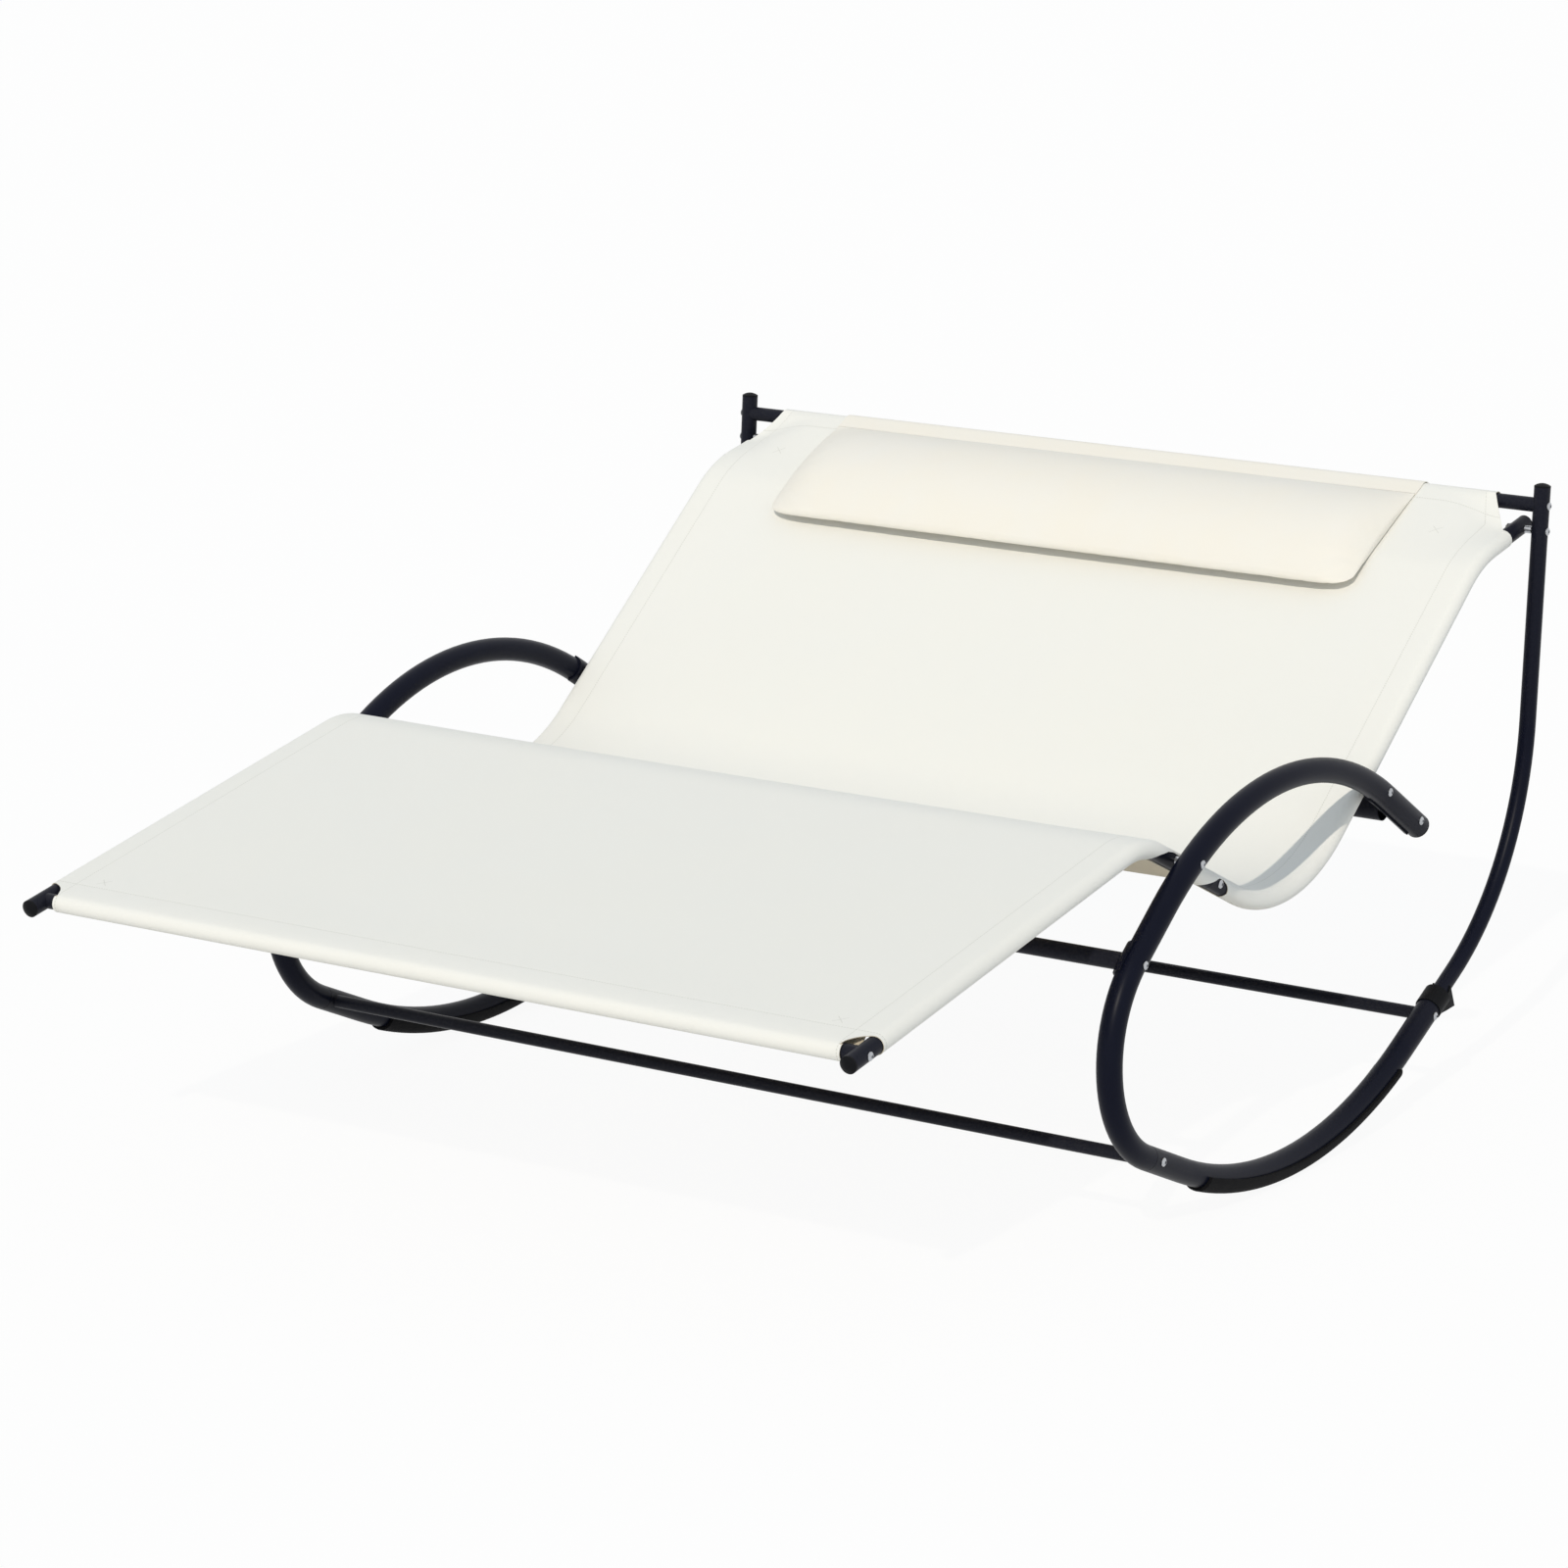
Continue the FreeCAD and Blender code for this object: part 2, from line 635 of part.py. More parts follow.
# screws into the threaded cradles, then through bolts with flange nuts
save("arm_rear_bar_bolts", both([bolt(frame_outer, cradle_face + cradle_tip_gap, p) for p in wide_bolts]))
save("arm_rail_bolts", both([bolt(frame_outer, rail_inner - past, arm_rail)]))
save("arm_rail_nuts", both([flange_nut(rail_inner, arm_rail)]))
save("arm_rail_spacers", both([spacer(rail_outer, frame_inner, arm_rail)]))
save("rail_joint_bolts", both([bolt(rail_outer, rail_inner - past, rail_bolt)]))
save("rail_joint_nuts", both([flange_nut(rail_inner, rail_bolt)]))
save("rail_top_bolts", both([bolt(upright_outer, rail_inner - past, rail_top_bolt)]))
save("rail_top_nuts", both([flange_nut(rail_inner, rail_top_bolt)]))
save("rail_top_spacers", both([spacer(rail_outer, upright_inner, rail_top_bolt)]))

# plugs
arm_mouth, arm_way = loop.at(0.0)
save("arm_end_caps", both([plug(frame_r, arm_wall, side_x, arm_mouth, (-arm_way[0], -arm_way[1]))]))
foot_mouth, foot_way = rail.at(0.0)
save("rail_foot_caps", both([plug(rail_r, rail_wall, rail_x, foot_mouth, (-foot_way[0], -foot_way[1]))]))
rail_mouth, rail_way = rail.at(rail_end)
save("rail_top_caps", both([plug(rail_r, rail_wall, rail_x, rail_mouth, rail_way)]))
save("upright_caps", both([plug(upright_r, upright_wall, side_x, upright_top, upright_run)]))

# sling: a panel over both rails, a sleeve round each rail and a hem round each end bar
over_rail = rail.shifted(panel_rise)
arc = over_rail.parts[5]
to_bar = (top_bar[0] - arc[1][0], top_bar[1] - arc[1][1])
lean = math.atan2(to_bar[1], to_bar[0]) - math.asin(
    (arc[2] - panel_rise) / math.hypot(to_bar[0], to_bar[1]))
last_run = heading(math.degrees(lean))
last_point = moved(top_bar, (-last_run[1], last_run[0]), panel_rise)
climb = unit((dip_y, dip_z), shoulder)
climb_point = moved(shoulder, (-climb[1], climb[0]), panel_rise)
panel = Route([over_rail.at(foot_bar_from_end)[0], over_rail.corners[1], over_rail.corners[2],
               crossing(climb_point, climb, last_point, last_run), last_point],
              [over_rail.radii[0], over_rail.radii[1], arc[2]])
panel_end = panel.length()
panel_leaves = panel.mark(6)
sleeve_r = rail_r + sleeve_gap + sleeve_wall
hem_r = end_bar_r + hem_gap + hem_wall
sleeve_top_s = rail_end - rail_top_past_bolt - top_sleeve_bare
foot_hem_x = rail_inner - foot_hem_bare
top_hem_x = upright_inner - top_hem_bare
sleeve_top = rail.at(sleeve_top_s)[0]

sling = thick(panel, 0.0, panel_end, -cloth / 2, cloth / 2, -rail_x, rail_x)
web_low = rail.shifted(panel_rise - cloth / 2 + 0.2)
web_from = web_low.place_of(lambda q: q[0] - panel.at(panel_leaves - 26.0)[0][0], 0.0,
                            web_low.length())
web_to = web_low.place_of(lambda q: q[0] - sleeve_top[0], 0.0, web_low.length())
web_points = [web_low.at(web_from + (web_to - web_from) * k / 12.0)[0] for k in range(13)]
web_back = panel.place_of(lambda q: q[0] - sleeve_top[0], 0.0, panel_end)
web_points += [panel.at(web_back)[0]]
web_points += [panel.at(panel_leaves - 4.0 * k)[0] for k in range(7)]
web = prism(web_points, rail_x - cloth, rail_x)
sleeve = tube(rail, foot_sleeve_bare, sleeve_top_s, rail_x, sleeve_r, sleeve_wall)
side = rail.at(arm_rail_s)[1], rail.at(rail_bolt_s)[1]
for p, u, outline in ((arm_rail, side[0], arm_slot), (rail_bolt, side[1], joint_slot)):
    n = (-u[1], u[0])
    slot = [moved(moved(p, u, a), n, h) for a, h in outline]
    sleeve = sleeve.cut(prism(slot, rail_x, rail_x + 2 * sleeve_r))
    sleeve = sleeve.cut(bar(rail_x - 2 * sleeve_r, rail_x, p, flange_r + 1.5))
sling = sling.fuse([sleeve, mirrored(sleeve)])
sling = sling.fuse([web, mirrored(web)])
sling = sling.cut(rod(rail, 0.0, rail_end, rail_x, rail_r + sleeve_gap))
sling = sling.cut(mirrored(rod(rail, 0.0, rail_end, rail_x, rail_r + sleeve_gap)))
notch = Part.makeCylinder(corner_run, 2 * corner_reach, FreeCAD.Vector(
    rail_x + sleeve_r, foot_bar[0] - hem_r, foot_bar[1] - corner_reach))
corner = Part.Face(Part.makePolygon([FreeCAD.Vector(x, y, top_bar[1] - corner_reach) for x, y in (
    (top_hem_x, top_bar[0] + 2 * corner_margin), (top_hem_x, top_bar[0] - corner_set_back),
    (rail_x + corner_margin, sleeve_top[0]), (rail_x + corner_margin, top_bar[0] + 2 * corner_margin),
    (top_hem_x, top_bar[0] + 2 * corner_margin))]))
corner = corner.extrude(FreeCAD.Vector(0, 0, 2 * corner_reach))
for p, x in ((foot_bar, foot_hem_x), (top_bar, top_hem_x)):
    sling = sling.fuse(bar(-x, x, p, hem_r).cut(bar(-x, x, p, hem_r - hem_wall)))
for tool in (notch, corner):
    sling = sling.cut(tool).cut(mirrored(tool))
for p in (foot_bar, top_bar):
    sling = sling.cut(bar(-side_x, side_x, p, hem_r - hem_wall))
save("sling", sling.removeSplitter())

# flap over the top bar, outside the sling's hem
rise = flap_r - panel_rise
seam = moved(panel.at(panel_end - cushion_start)[0], (-last_run[1], last_run[0]), rise)
behind = (top_bar[0] + flap_r, top_bar[1])
flap = Route([seam, crossing(seam, last_run, behind, (0.0, 1.0)), moved(behind, (0.0, -1.0), flap_drop)],
             [flap_r])
save("pillow_flap", thick(flap, seam_gap, flap.length(), -flap_thick / 2, flap_thick / 2,
                          -cushion_half_width, cushion_half_width))


def cushion_section(x, fill, tuck):
    # nearly flat below, crowned above, with a rounded lower edge
    base = cloth / 2 + cushion_clear
    first, last = cushion_start + seam_gap + tuck, cushion_start + cushion_length - tuck

    def point(a, h):
        p, u = panel.at(panel_end - a)
        return spot(x, moved(p, (-u[1], u[0]), base + h))

    seam_h = flap_thick * (0.5 + 0.5 * fill)
    lift = cushion_lift
    a = point(first, 0.0)
    b = point(max(panel_end - panel_leaves, first + 20.0), 0.2)
    c = point(last - cushion_nose * 0.25, lift)
    d = point(last - cushion_nose * 0.25 * fill, lift + cushion_edge + cushion_nose * fill)
    e = point(first, seam_h)
    crown = point((first + last) / 2, lift * 0.5 + cushion_edge + (cushion_crown - lift) * fill)
    nose = point(last, lift + cushion_edge / 2 + cushion_nose * 0.45 * fill)
    edges = [Part.makeLine(a, b), Part.makeLine(b, c), Part.Arc(c, nose, d).toShape(),
             Part.Arc(d, crown, e).toShape(), Part.makeLine(e, a)]
    return Part.Wire(edges)


stations = [(1.0, 0.05, 1.0), (0.985, 0.24, 0.5), (0.96, 0.45, 0.24), (0.92, 0.68, 0.1), (0.8, 0.9, 0.03),
            (0.5, 1.0, 0.0), (0.0, 1.0, 0.0)]
right_half = [(share * cushion_half_width, fill, tuck * cushion_tuck) for share, fill, tuck in stations]
left_half = [(-x, fill, tuck) for x, fill, tuck in right_half[:-1]]
wires = [cushion_section(x, fill, tuck) for x, fill, tuck in left_half + right_half[::-1]]
save("pillow", Part.makeLoft(wires, True, False))
hinge = moved(panel.at(panel_end - cushion_start)[0], (-last_run[1], last_run[0]),
              cloth / 2 + cushion_clear + flap_thick + 0.2)
print("hinge", round(hinge[0] - centre_y, 2), round(hinge[1], 2), "centre_y", round(centre_y, 2))
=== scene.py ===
import bpy
import bmesh
import json
import math
from mathutils import Matrix, Vector, noise
from mathutils.bvhtree import BVHTree

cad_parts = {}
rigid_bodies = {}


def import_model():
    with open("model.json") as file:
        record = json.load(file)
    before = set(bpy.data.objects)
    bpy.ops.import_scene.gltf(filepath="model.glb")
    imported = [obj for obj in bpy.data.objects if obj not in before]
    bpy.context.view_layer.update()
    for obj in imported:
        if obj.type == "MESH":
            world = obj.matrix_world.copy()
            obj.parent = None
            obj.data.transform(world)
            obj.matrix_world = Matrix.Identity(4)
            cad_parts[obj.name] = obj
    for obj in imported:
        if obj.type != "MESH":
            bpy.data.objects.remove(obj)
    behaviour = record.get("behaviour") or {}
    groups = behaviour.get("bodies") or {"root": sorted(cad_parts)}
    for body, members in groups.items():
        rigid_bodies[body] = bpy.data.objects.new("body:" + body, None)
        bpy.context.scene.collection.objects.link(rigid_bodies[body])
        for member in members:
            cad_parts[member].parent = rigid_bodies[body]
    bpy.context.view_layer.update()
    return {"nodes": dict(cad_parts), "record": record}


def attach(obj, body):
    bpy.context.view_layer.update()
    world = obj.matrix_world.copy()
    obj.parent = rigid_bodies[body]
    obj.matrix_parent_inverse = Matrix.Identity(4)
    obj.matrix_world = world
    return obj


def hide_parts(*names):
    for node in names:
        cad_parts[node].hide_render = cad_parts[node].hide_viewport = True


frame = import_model()
print("frame loaded")

# side profile of the seat, in metres: y along the lounger, z up, as in the frame
profile = {
    "shift": 0.16369,
    "foot": (-1.0743, 0.4204),
    "knee": (-0.3625, 0.5557),
    "dip": (0.0499, 0.3545),
    "shoulder": (0.5988, 0.7856),
    "kneeRadius": 0.140,
    "dipRadius": 0.272,
    "shoulderRadius": 0.185,
    "railTop": (0.75377, 0.81558),
    "footBar": (-1.04505, 0.42596),
    "topBar": (0.73769, 0.850),
    "railX": 0.678,
}


def useOnly(o):
    for other in bpy.context.selected_objects:
        other.select_set(False)
    o.select_set(True)
    bpy.context.view_layer.objects.active = o


def applyAll(o):
    useOnly(o)
    for m in list(o.modifiers):
        bpy.ops.object.modifier_apply(modifier=m.name)


def smoothShade(o, sharpFrom):
    for p in o.data.polygons:
        p.use_smooth = True
    useOnly(o)
    bpy.ops.object.shade_smooth_by_angle(angle=math.radians(sharpFrom))


def addObject(name, data):
    o = bpy.data.objects.new(name, data)
    bpy.context.scene.collection.objects.link(o)
    return o


def clothMesh(name, verts, faces, flatPlaces):
    # a sheet whose UV map holds each point's place on the flat cloth, in metres
    mesh = bpy.data.meshes.new(name)
    mesh.from_pydata(verts, [], faces)
    layer = mesh.uv_layers.new(name="flat")
    for loop in mesh.loops:
        layer.data[loop.index].uv = flatPlaces[loop.vertex_index]
    mesh.update()
    return addObject(name, mesh)


# shader maths
class Wire:
    def __init__(self, tree, socket):
        self.tree = tree
        self.socket = socket

    def maths(self, operation, *others):
        n = self.tree.nodes.new("ShaderNodeMath")
        n.operation = operation
        for slot, value in zip(n.inputs, (self,) + others):
            if isinstance(value, Wire):
                self.tree.links.new(value.socket, slot)
            else:
                slot.default_value = value
        return Wire(self.tree, n.outputs[0])

    def swapped(self, operation, value):
        n = self.tree.nodes.new("ShaderNodeMath")
        n.operation = operation
        n.inputs[0].default_value = value
        self.tree.links.new(self.socket, n.inputs[1])
        return Wire(self.tree, n.outputs[0])

    def __add__(self, v): return self.maths("ADD", v)
    def __radd__(self, v): return self.maths("ADD", v)
    def __sub__(self, v): return self.maths("SUBTRACT", v)
    def __rsub__(self, v): return self.swapped("SUBTRACT", v)
    def __mul__(self, v): return self.maths("MULTIPLY", v)
    def __rmul__(self, v): return self.maths("MULTIPLY", v)
    def __truediv__(self, v): return self.maths("DIVIDE", v)
    def above(self, v): return self.maths("GREATER_THAN", v)
    def below(self, v): return self.maths("LESS_THAN", v)
    def sine(self): return self.maths("SINE")
    def size(self): return self.maths("ABSOLUTE")
    def most(self, v): return self.maths("MAXIMUM", v)
    def least(self, v): return self.maths("MINIMUM", v)
    def power(self, v): return self.maths("POWER", v)


def seenDirectly(tree):
    # 1 for rays from the camera, and for those that polished metal and glass send back
    path = tree.nodes.new("ShaderNodeLightPath")
    camera, glossy, through = [Wire(tree, path.outputs[k]) for k in (
        "Is Camera Ray", "Is Glossy Ray", "Is Transmission Ray")]
    return camera.most(glossy).most(through)


class Finish:
    # one material with its shader, built node by node
    def __init__(self, name):
        self.material = bpy.data.materials.new(name)
        self.material.use_nodes = True
        self.tree = self.material.node_tree
        self.shader = self.tree.nodes["Principled BSDF"]

    def node(self, kind, settings=None, sockets=None, out=0):
        n = self.tree.nodes.new(kind)
        for key, value in (settings or {}).items():
            if key == "stops":
                ramp = n.color_ramp
                while len(ramp.elements) < len(value):
                    ramp.elements.new(0.5)
                for element, (place, colour) in zip(ramp.elements, value):
                    element.position = place
                    element.color = colour
            else:
                setattr(n, key, value)
        for key, value in (sockets or {}).items():
            if isinstance(value, Wire):
                self.tree.links.new(value.socket, n.inputs[key])
            else:
                n.inputs[key].default_value = value
        return Wire(self.tree, n.outputs[out])

    def coords(self, kind="Object"):
        return self.node("ShaderNodeTexCoord", out={"Object": 3, "UV": 2}[kind])

    def split(self, vector):
        n = self.tree.nodes.new("ShaderNodeSeparateXYZ")
        self.tree.links.new(vector.socket, n.inputs[0])
        return [Wire(self.tree, s) for s in n.outputs]

    def noise(self, place, scale, detail=3.0, rough=0.5):
        return self.node("ShaderNodeTexNoise", {}, {
            "Vector": place, "Scale": scale, "Detail": detail, "Roughness": rough})

    def blend(self, factor, a, b):
        n = self.tree.nodes.new("ShaderNodeMix")
        n.data_type = "RGBA"
        for slot, value in ((n.inputs[0], factor), (n.inputs[6], a), (n.inputs[7], b)):
            if isinstance(value, Wire):
                self.tree.links.new(value.socket, slot)
            elif isinstance(value, tuple):
                slot.default_value = (*value, 1.0)
            else:
                slot.default_value = value
        return Wire(self.tree, n.outputs[2])

    def bump(self, height, strength, distance, below=None):
        sockets = {"Height": height, "Strength": strength, "Distance": distance}
        if below:
            sockets["Normal"] = below
        return self.node("ShaderNodeBump", {}, sockets)

    def set(self, **values):
        for key, value in values.items():
            slot = self.shader.inputs[key.replace("_", " ")]
            if isinstance(value, Wire):
                self.tree.links.new(value.socket, slot)
            elif isinstance(value, tuple):
                slot.default_value = (*value, 1.0)
            else:
                slot.default_value = value
        return self.material

    def whiten(self, share):
        # the camera sees the surface as mostly plain white
        factor = seenDirectly(self.tree) * share
        glow = self.tree.nodes.new("ShaderNodeEmission")
        glow.inputs["Strength"].default_value = 1.0
        mix = self.tree.nodes.new("ShaderNodeMixShader")
        self.tree.links.new(factor.socket, mix.inputs[0])
        self.tree.links.new(self.shader.outputs[0], mix.inputs[1])
        self.tree.links.new(glow.outputs[0], mix.inputs[2])
        self.tree.links.new(mix.outputs[0], self.tree.nodes["Material Output"].inputs["Surface"])


def linear(r, g, b):
    # a colour as seen on a screen, 0 to 255, as shader values
    found = []
    for v in (r, g, b):
        v /= 255.0
        found.append(v / 12.92 if v <= 0.04045 else ((v + 0.055) / 1.055) ** 2.4)
    return tuple(found)


powderCoat = {
    "colour": linear(13, 16, 30),
    "dusty": linear(20, 24, 38),
    "worn": linear(46, 46, 50),
    "roughness": 0.29,
    "roughMore": 0.12,
    "shine": 0.075,
    "cloudScale": 6.0,
    "pitScale": 260.0,
    "pitShare": 0.4,
    "grainScale": 900.0,
    "grainShare": 0.6,
    "grainBump": 0.30,
    "grainDepth": 0.00008,
    "dustFrom": 0.45,  # cloud value at which dust starts to show, and where it is full
    "dustFull": 0.75,
    "dustShare": 0.35,
    "wearShare": 0.6,
    "wearPits": 1.2,
    "wearFrom": 0.53,  # pointiness at which an edge starts to show wear, and where it is full
    "wearFull": 0.62,
}


def makePowderCoat():
    f = Finish("powderCoatedSteel")
    place = f.coords()
    cloud = f.noise(place, powderCoat["cloudScale"], 4.0, 0.6)
    grain = f.noise(place, powderCoat["grainScale"], 2.0, 0.5)
    pits = f.noise(place, powderCoat["pitScale"], 3.0, 0.55)
    dustStops = [(powderCoat["dustFrom"], (0, 0, 0, 1)), (powderCoat["dustFull"], (1, 1, 1, 1))]
    dust = f.node("ShaderNodeValToRGB", {"stops": dustStops}, {"Fac": cloud})
    edge = f.node("ShaderNodeNewGeometry", out=7)
    rubbed = f.node("ShaderNodeMapRange", {}, {
        "Value": edge, "From Min": powderCoat["wearFrom"], "From Max": powderCoat["wearFull"]})
    colour = f.blend(dust * powderCoat["dustShare"], powderCoat["colour"], powderCoat["dusty"])
    wear = rubbed * (pits * powderCoat["wearPits"]).least(1.0) * powderCoat["wearShare"]
    colour = f.blend(wear, colour, powderCoat["worn"])
    height = grain * powderCoat["grainShare"] + pits * powderCoat["pitShare"]
    return f.set(Base_Color=colour,
                 Roughness=powderCoat["roughness"] + powderCoat["roughMore"] * cloud,
                 Normal=f.bump(height, powderCoat["grainBump"], powderCoat["grainDepth"]),
                 Specular_IOR_Level=powderCoat["shine"])


zincPlate = {
    "colour": linear(205, 208, 212),
    "dark": linear(150, 152, 156),
    "roughness": 0.24,
    "roughMore": 0.2,
    "cloudScale": 220.0,
    "scratchScale": 400.0,
    "scratchDrawn": (1.0, 8.0, 8.0),
    "scratchBump": 0.2,
    "scratchDepth": 0.00004,
}


def makeZinc():
    f = Finish("zincPlatedSteel")
    place = f.coords()
    cloud = f.noise(place, zincPlate["cloudScale"], 4.0, 0.6)
    drawn = f.node("ShaderNodeMapping", {}, {
        "Vector": place, "Scale": zincPlate["scratchDrawn"]})
    scratch = f.noise(drawn, zincPlate["scratchScale"], 3.0)
    colour = f.blend(cloud, zincPlate["dark"], zincPlate["colour"])
    return f.set(Base_Color=colour, Metallic=1.0,
                 Roughness=zincPlate["roughness"] + zincPlate["roughMore"] * cloud,
                 Normal=f.bump(scratch, zincPlate["scratchBump"], zincPlate["scratchDepth"]))


plastic = {
    "colour": linear(12, 13, 15),
    "light": linear(21, 22, 26),
    "roughness": 0.42,
    "roughMore": 0.15,
    "shine": 0.08,
    "cloudScale": 40.0,
    "lightShare": 0.6,
    "grainScale": 1400.0,
    "grainBump": 0.3,
    "grainDepth": 0.00006,
}


def makePlastic():
    f = Finish("mouldedBlackPlastic")
    place = f.coords()
    grain = f.node("ShaderNodeTexVoronoi", {}, {"Vector": place, "Scale": plastic["grainScale"]})
    cloud = f.noise(place, plastic["cloudScale"], 3.0)
    colour = f.blend(cloud * plastic["lightShare"], plastic["colour"], plastic["light"])
    return f.set(Base_Color=colour,
                 Roughness=plastic["roughness"] + plastic["roughMore"] * cloud,
                 Normal=f.bump(grain, plastic["grainBump"], plastic["grainDepth"]),
                 Specular_IOR_Level=plastic["shine"])


rubber = {
    "colour": linear(15, 15, 17),
    "dust": linear(50, 47, 42),
    "roughness": 0.72,
    "roughMore": 0.15,
    "shine": 0.1,
    "cloudScale": 55.0,
    "dustHeight": 0.012,
    "dustShare": 0.8,
    "grainScale": 1100.0,
    "grainBump": 0.35,
    "grainDepth": 0.00007,
}


def makeRubber():
    f = Finish("wearStripRubber")
    place = f.coords()
    z = f.split(place)[2]
    low = f.node("ShaderNodeMapRange", {}, {
        "Value": z, "From Min": rubber["dustHeight"], "From Max": 0.0})
    cloud = f.noise(place, rubber["cloudScale"], 4.0, 0.65)
    fine = f.noise(place, rubber["grainScale"], 2.0)
    colour = f.blend(low * cloud * rubber["dustShare"], rubber["colour"], rubber["dust"])
    return f.set(Base_Color=colour, Roughness=rubber["roughness"] + rubber["roughMore"] * cloud,
                 Normal=f.bump(fine, rubber["grainBump"], rubber["grainDepth"]),
                 Specular_IOR_Level=rubber["shine"])


slingLook = {
    "colour": linear(238, 237, 231),
    # painted shade: the tone of the hollows between the threads
    "shadeTone": linear(225, 224, 218),
    "warm": linear(242, 238, 226),
    "roughness": 0.78,
    "roughMore": 0.1,
    "sheen": 0.12,
    "sheenRoughness": 0.5,
    "shine": 0.3,
    "cloudScale": 5.0,
    "warmCloud": 0.4,
    "streakScale": 6.0,
    "streakDrawn": (90.0, 2.0, 1.0),
    "warmStreak": 0.25,
    "threadPitch": 0.0011,
    "weaveShade": 0.45,
    "weaveBump": 0.55,
    "weaveDepth": 0.00022,
    "stitchPitch": 0.0044,
    "stitchWidth": 0.0007,
    "stitchGap": -0.45,  # height of the sine above which the thread shows
    "stitchShow": 0.8,
    "stitchRise": 0.35,
    "seamGroove": 0.0030,
    "grooveShare": 0.6,
    "seamBump": 0.6,
    "seamDepth": 0.0006,
    "thread": linear(214, 212, 202),
    "tack": 0.008,
}
# painted shade: the back face of the cloth is tan and darker than its front, as it is seen only in
# the shadow under the seat and inside the hems
slingBackShadeLook = {
    "colour": linear(222, 212, 190),
    "shadeTone": linear(196, 184, 160),
    "warm": linear(226, 212, 184),
}


def weave(f, u, v, pitch):
    # plain weave from two crossed rows of threads that pass over each other in turn
    turns = math.pi / pitch
    a = (u * turns).sine()
    b = (v * turns).sine()
    over = (a * b).above(0.0)
    return over * a.size().power(0.5) + (1 - over) * b.size().power(0.5)


def makeSlingCloth(name, look, seams):
    # seams are distances on the flat cloth: the sleeves' from its middle, the hems' from its foot
    f = Finish(name)
    u, v = f.split(f.coords("UV"))[:2]
    cloth = weave(f, u, v, slingLook["threadPitch"])
    cloud = f.noise(f.coords(), slingLook["cloudScale"], 4.0, 0.6)
    drawn = f.node("ShaderNodeMapping", {}, {
        "Vector": f.coords("UV"), "Scale": slingLook["streakDrawn"]})
    streak = f.noise(drawn, slingLook["streakScale"], 3.0)
    warmth = cloud * slingLook["warmCloud"] + streak * slingLook["warmStreak"]
    colour = f.blend(warmth, look["colour"], look["warm"])
    # painted shade: the cloth is darker in the hollows where the threads pass under each other
    colour = f.blend((1 - cloth) * slingLook["weaveShade"], colour, look["shadeTone"])
    beside = u.size()
    across = (beside - seams["side"]).size()
    along = (v - seams["foot"]).size().least((v - seams["top"]).size())
    groove = (1 - across.least(along) / slingLook["seamGroove"]).most(0.0)
    turns = 2 * math.pi / slingLook["stitchPitch"]
    width, gap = slingLook["stitchWidth"], slingLook["stitchGap"]
    sideStitch = across.below(width) * (v * turns).sine().above(gap)
    hemStitch = along.below(width) * (u * turns).sine().above(gap)
    stitch = sideStitch.most(hemStitch)
    for x, y in seams["tacks"]:
        dx, dy = (beside - x).size(), (v - y).size()
        cross = (dx - dy).size().below(width) * dx.most(dy).below(slingLook["tack"])
        stitch = stitch.most(cross)
    colour = f.blend(stitch * slingLook["stitchShow"], colour, slingLook["thread"])
    fine = f.bump(cloth, slingLook["weaveBump"], slingLook["weaveDepth"])
    height = stitch * slingLook["stitchRise"] - groove * slingLook["grooveShare"]
    sewn = f.bump(height, slingLook["seamBump"], slingLook["seamDepth"], fine)
    return f.set(Base_Color=colour,
                 Roughness=slingLook["roughness"] + slingLook["roughMore"] * cloth,
                 Sheen_Weight=slingLook["sheen"], Sheen_Roughness=slingLook["sheenRoughness"],
                 Normal=sewn, Specular_IOR_Level=slingLook["shine"])


cushionLook = {
    "colour": linear(237, 234, 226),
    "warm": linear(239, 232, 217),
    "roughness": 0.82,
    "sheen": 0.15,
    "sheenRoughness": 0.5,
    "shine": 0.28,
    "cloudScale": 9.0,
    "threadPitch": 0.0009,
    "run": (0.8, 0.6),  # direction of the cushion's slope, back and up
    "weaveBump": 0.45,
    "weaveDepth": 0.00016,
}


def makeCushionCloth():
    f = Finish("cushionTextile")
    place = f.coords()
    x, y, z = f.split(place)
    back, up = cushionLook["run"]
    cloth = weave(f, x, y * back + z * up, cushionLook["threadPitch"])
    cloud = f.noise(place, cushionLook["cloudScale"], 4.0, 0.6)
    colour = f.blend(cloud, cushionLook["colour"], cushionLook["warm"])
    return f.set(Base_Color=colour, Roughness=cushionLook["roughness"],
                 Sheen_Weight=cushionLook["sheen"],
                 Sheen_Roughness=cushionLook["sheenRoughness"],
                 Normal=f.bump(cloth, cushionLook["weaveBump"], cushionLook["weaveDepth"]),
                 Specular_IOR_Level=cushionLook["shine"])


rawEdgeLook = {
    "dark": linear(176, 160, 136),
    "pale": linear(228, 222, 206),
    "roughness": 0.9,
    "frayScale": 700.0,
    "frayBump": 0.6,
    "frayDepth": 0.0002,
}


def makeRawEdge():
    f = Finish("rawClothEdge")
    fray = f.noise(f.coords(), rawEdgeLook["frayScale"], 3.0)
    return f.set(Base_Color=f.blend(fray, rawEdgeLook["dark"], rawEdgeLook["pale"]),
                 Roughness=rawEdgeLook["roughness"],
                 Normal=f.bump(fray, rawEdgeLook["frayBump"], rawEdgeLook["frayDepth"]))


finishes = {
    "black_steel": makePowderCoat(),
    "zinc_steel": makeZinc(),
    "black_plastic": makePlastic(),
    "strip_rubber": makeRubber(),
}
cushionCloth = makeCushionCloth()
rawEdge = makeRawEdge()

softNodes = {"sling", "pillow", "pillow_flap"}
for part in frame["record"]["subparts"]:
    if part["node"] not in softNodes:
        o = bpy.data.objects[part["node"]]
        o.data.materials.clear()
        o.data.materials.append(finishes[part["material_slot"]])
print("metal and plastic finished")


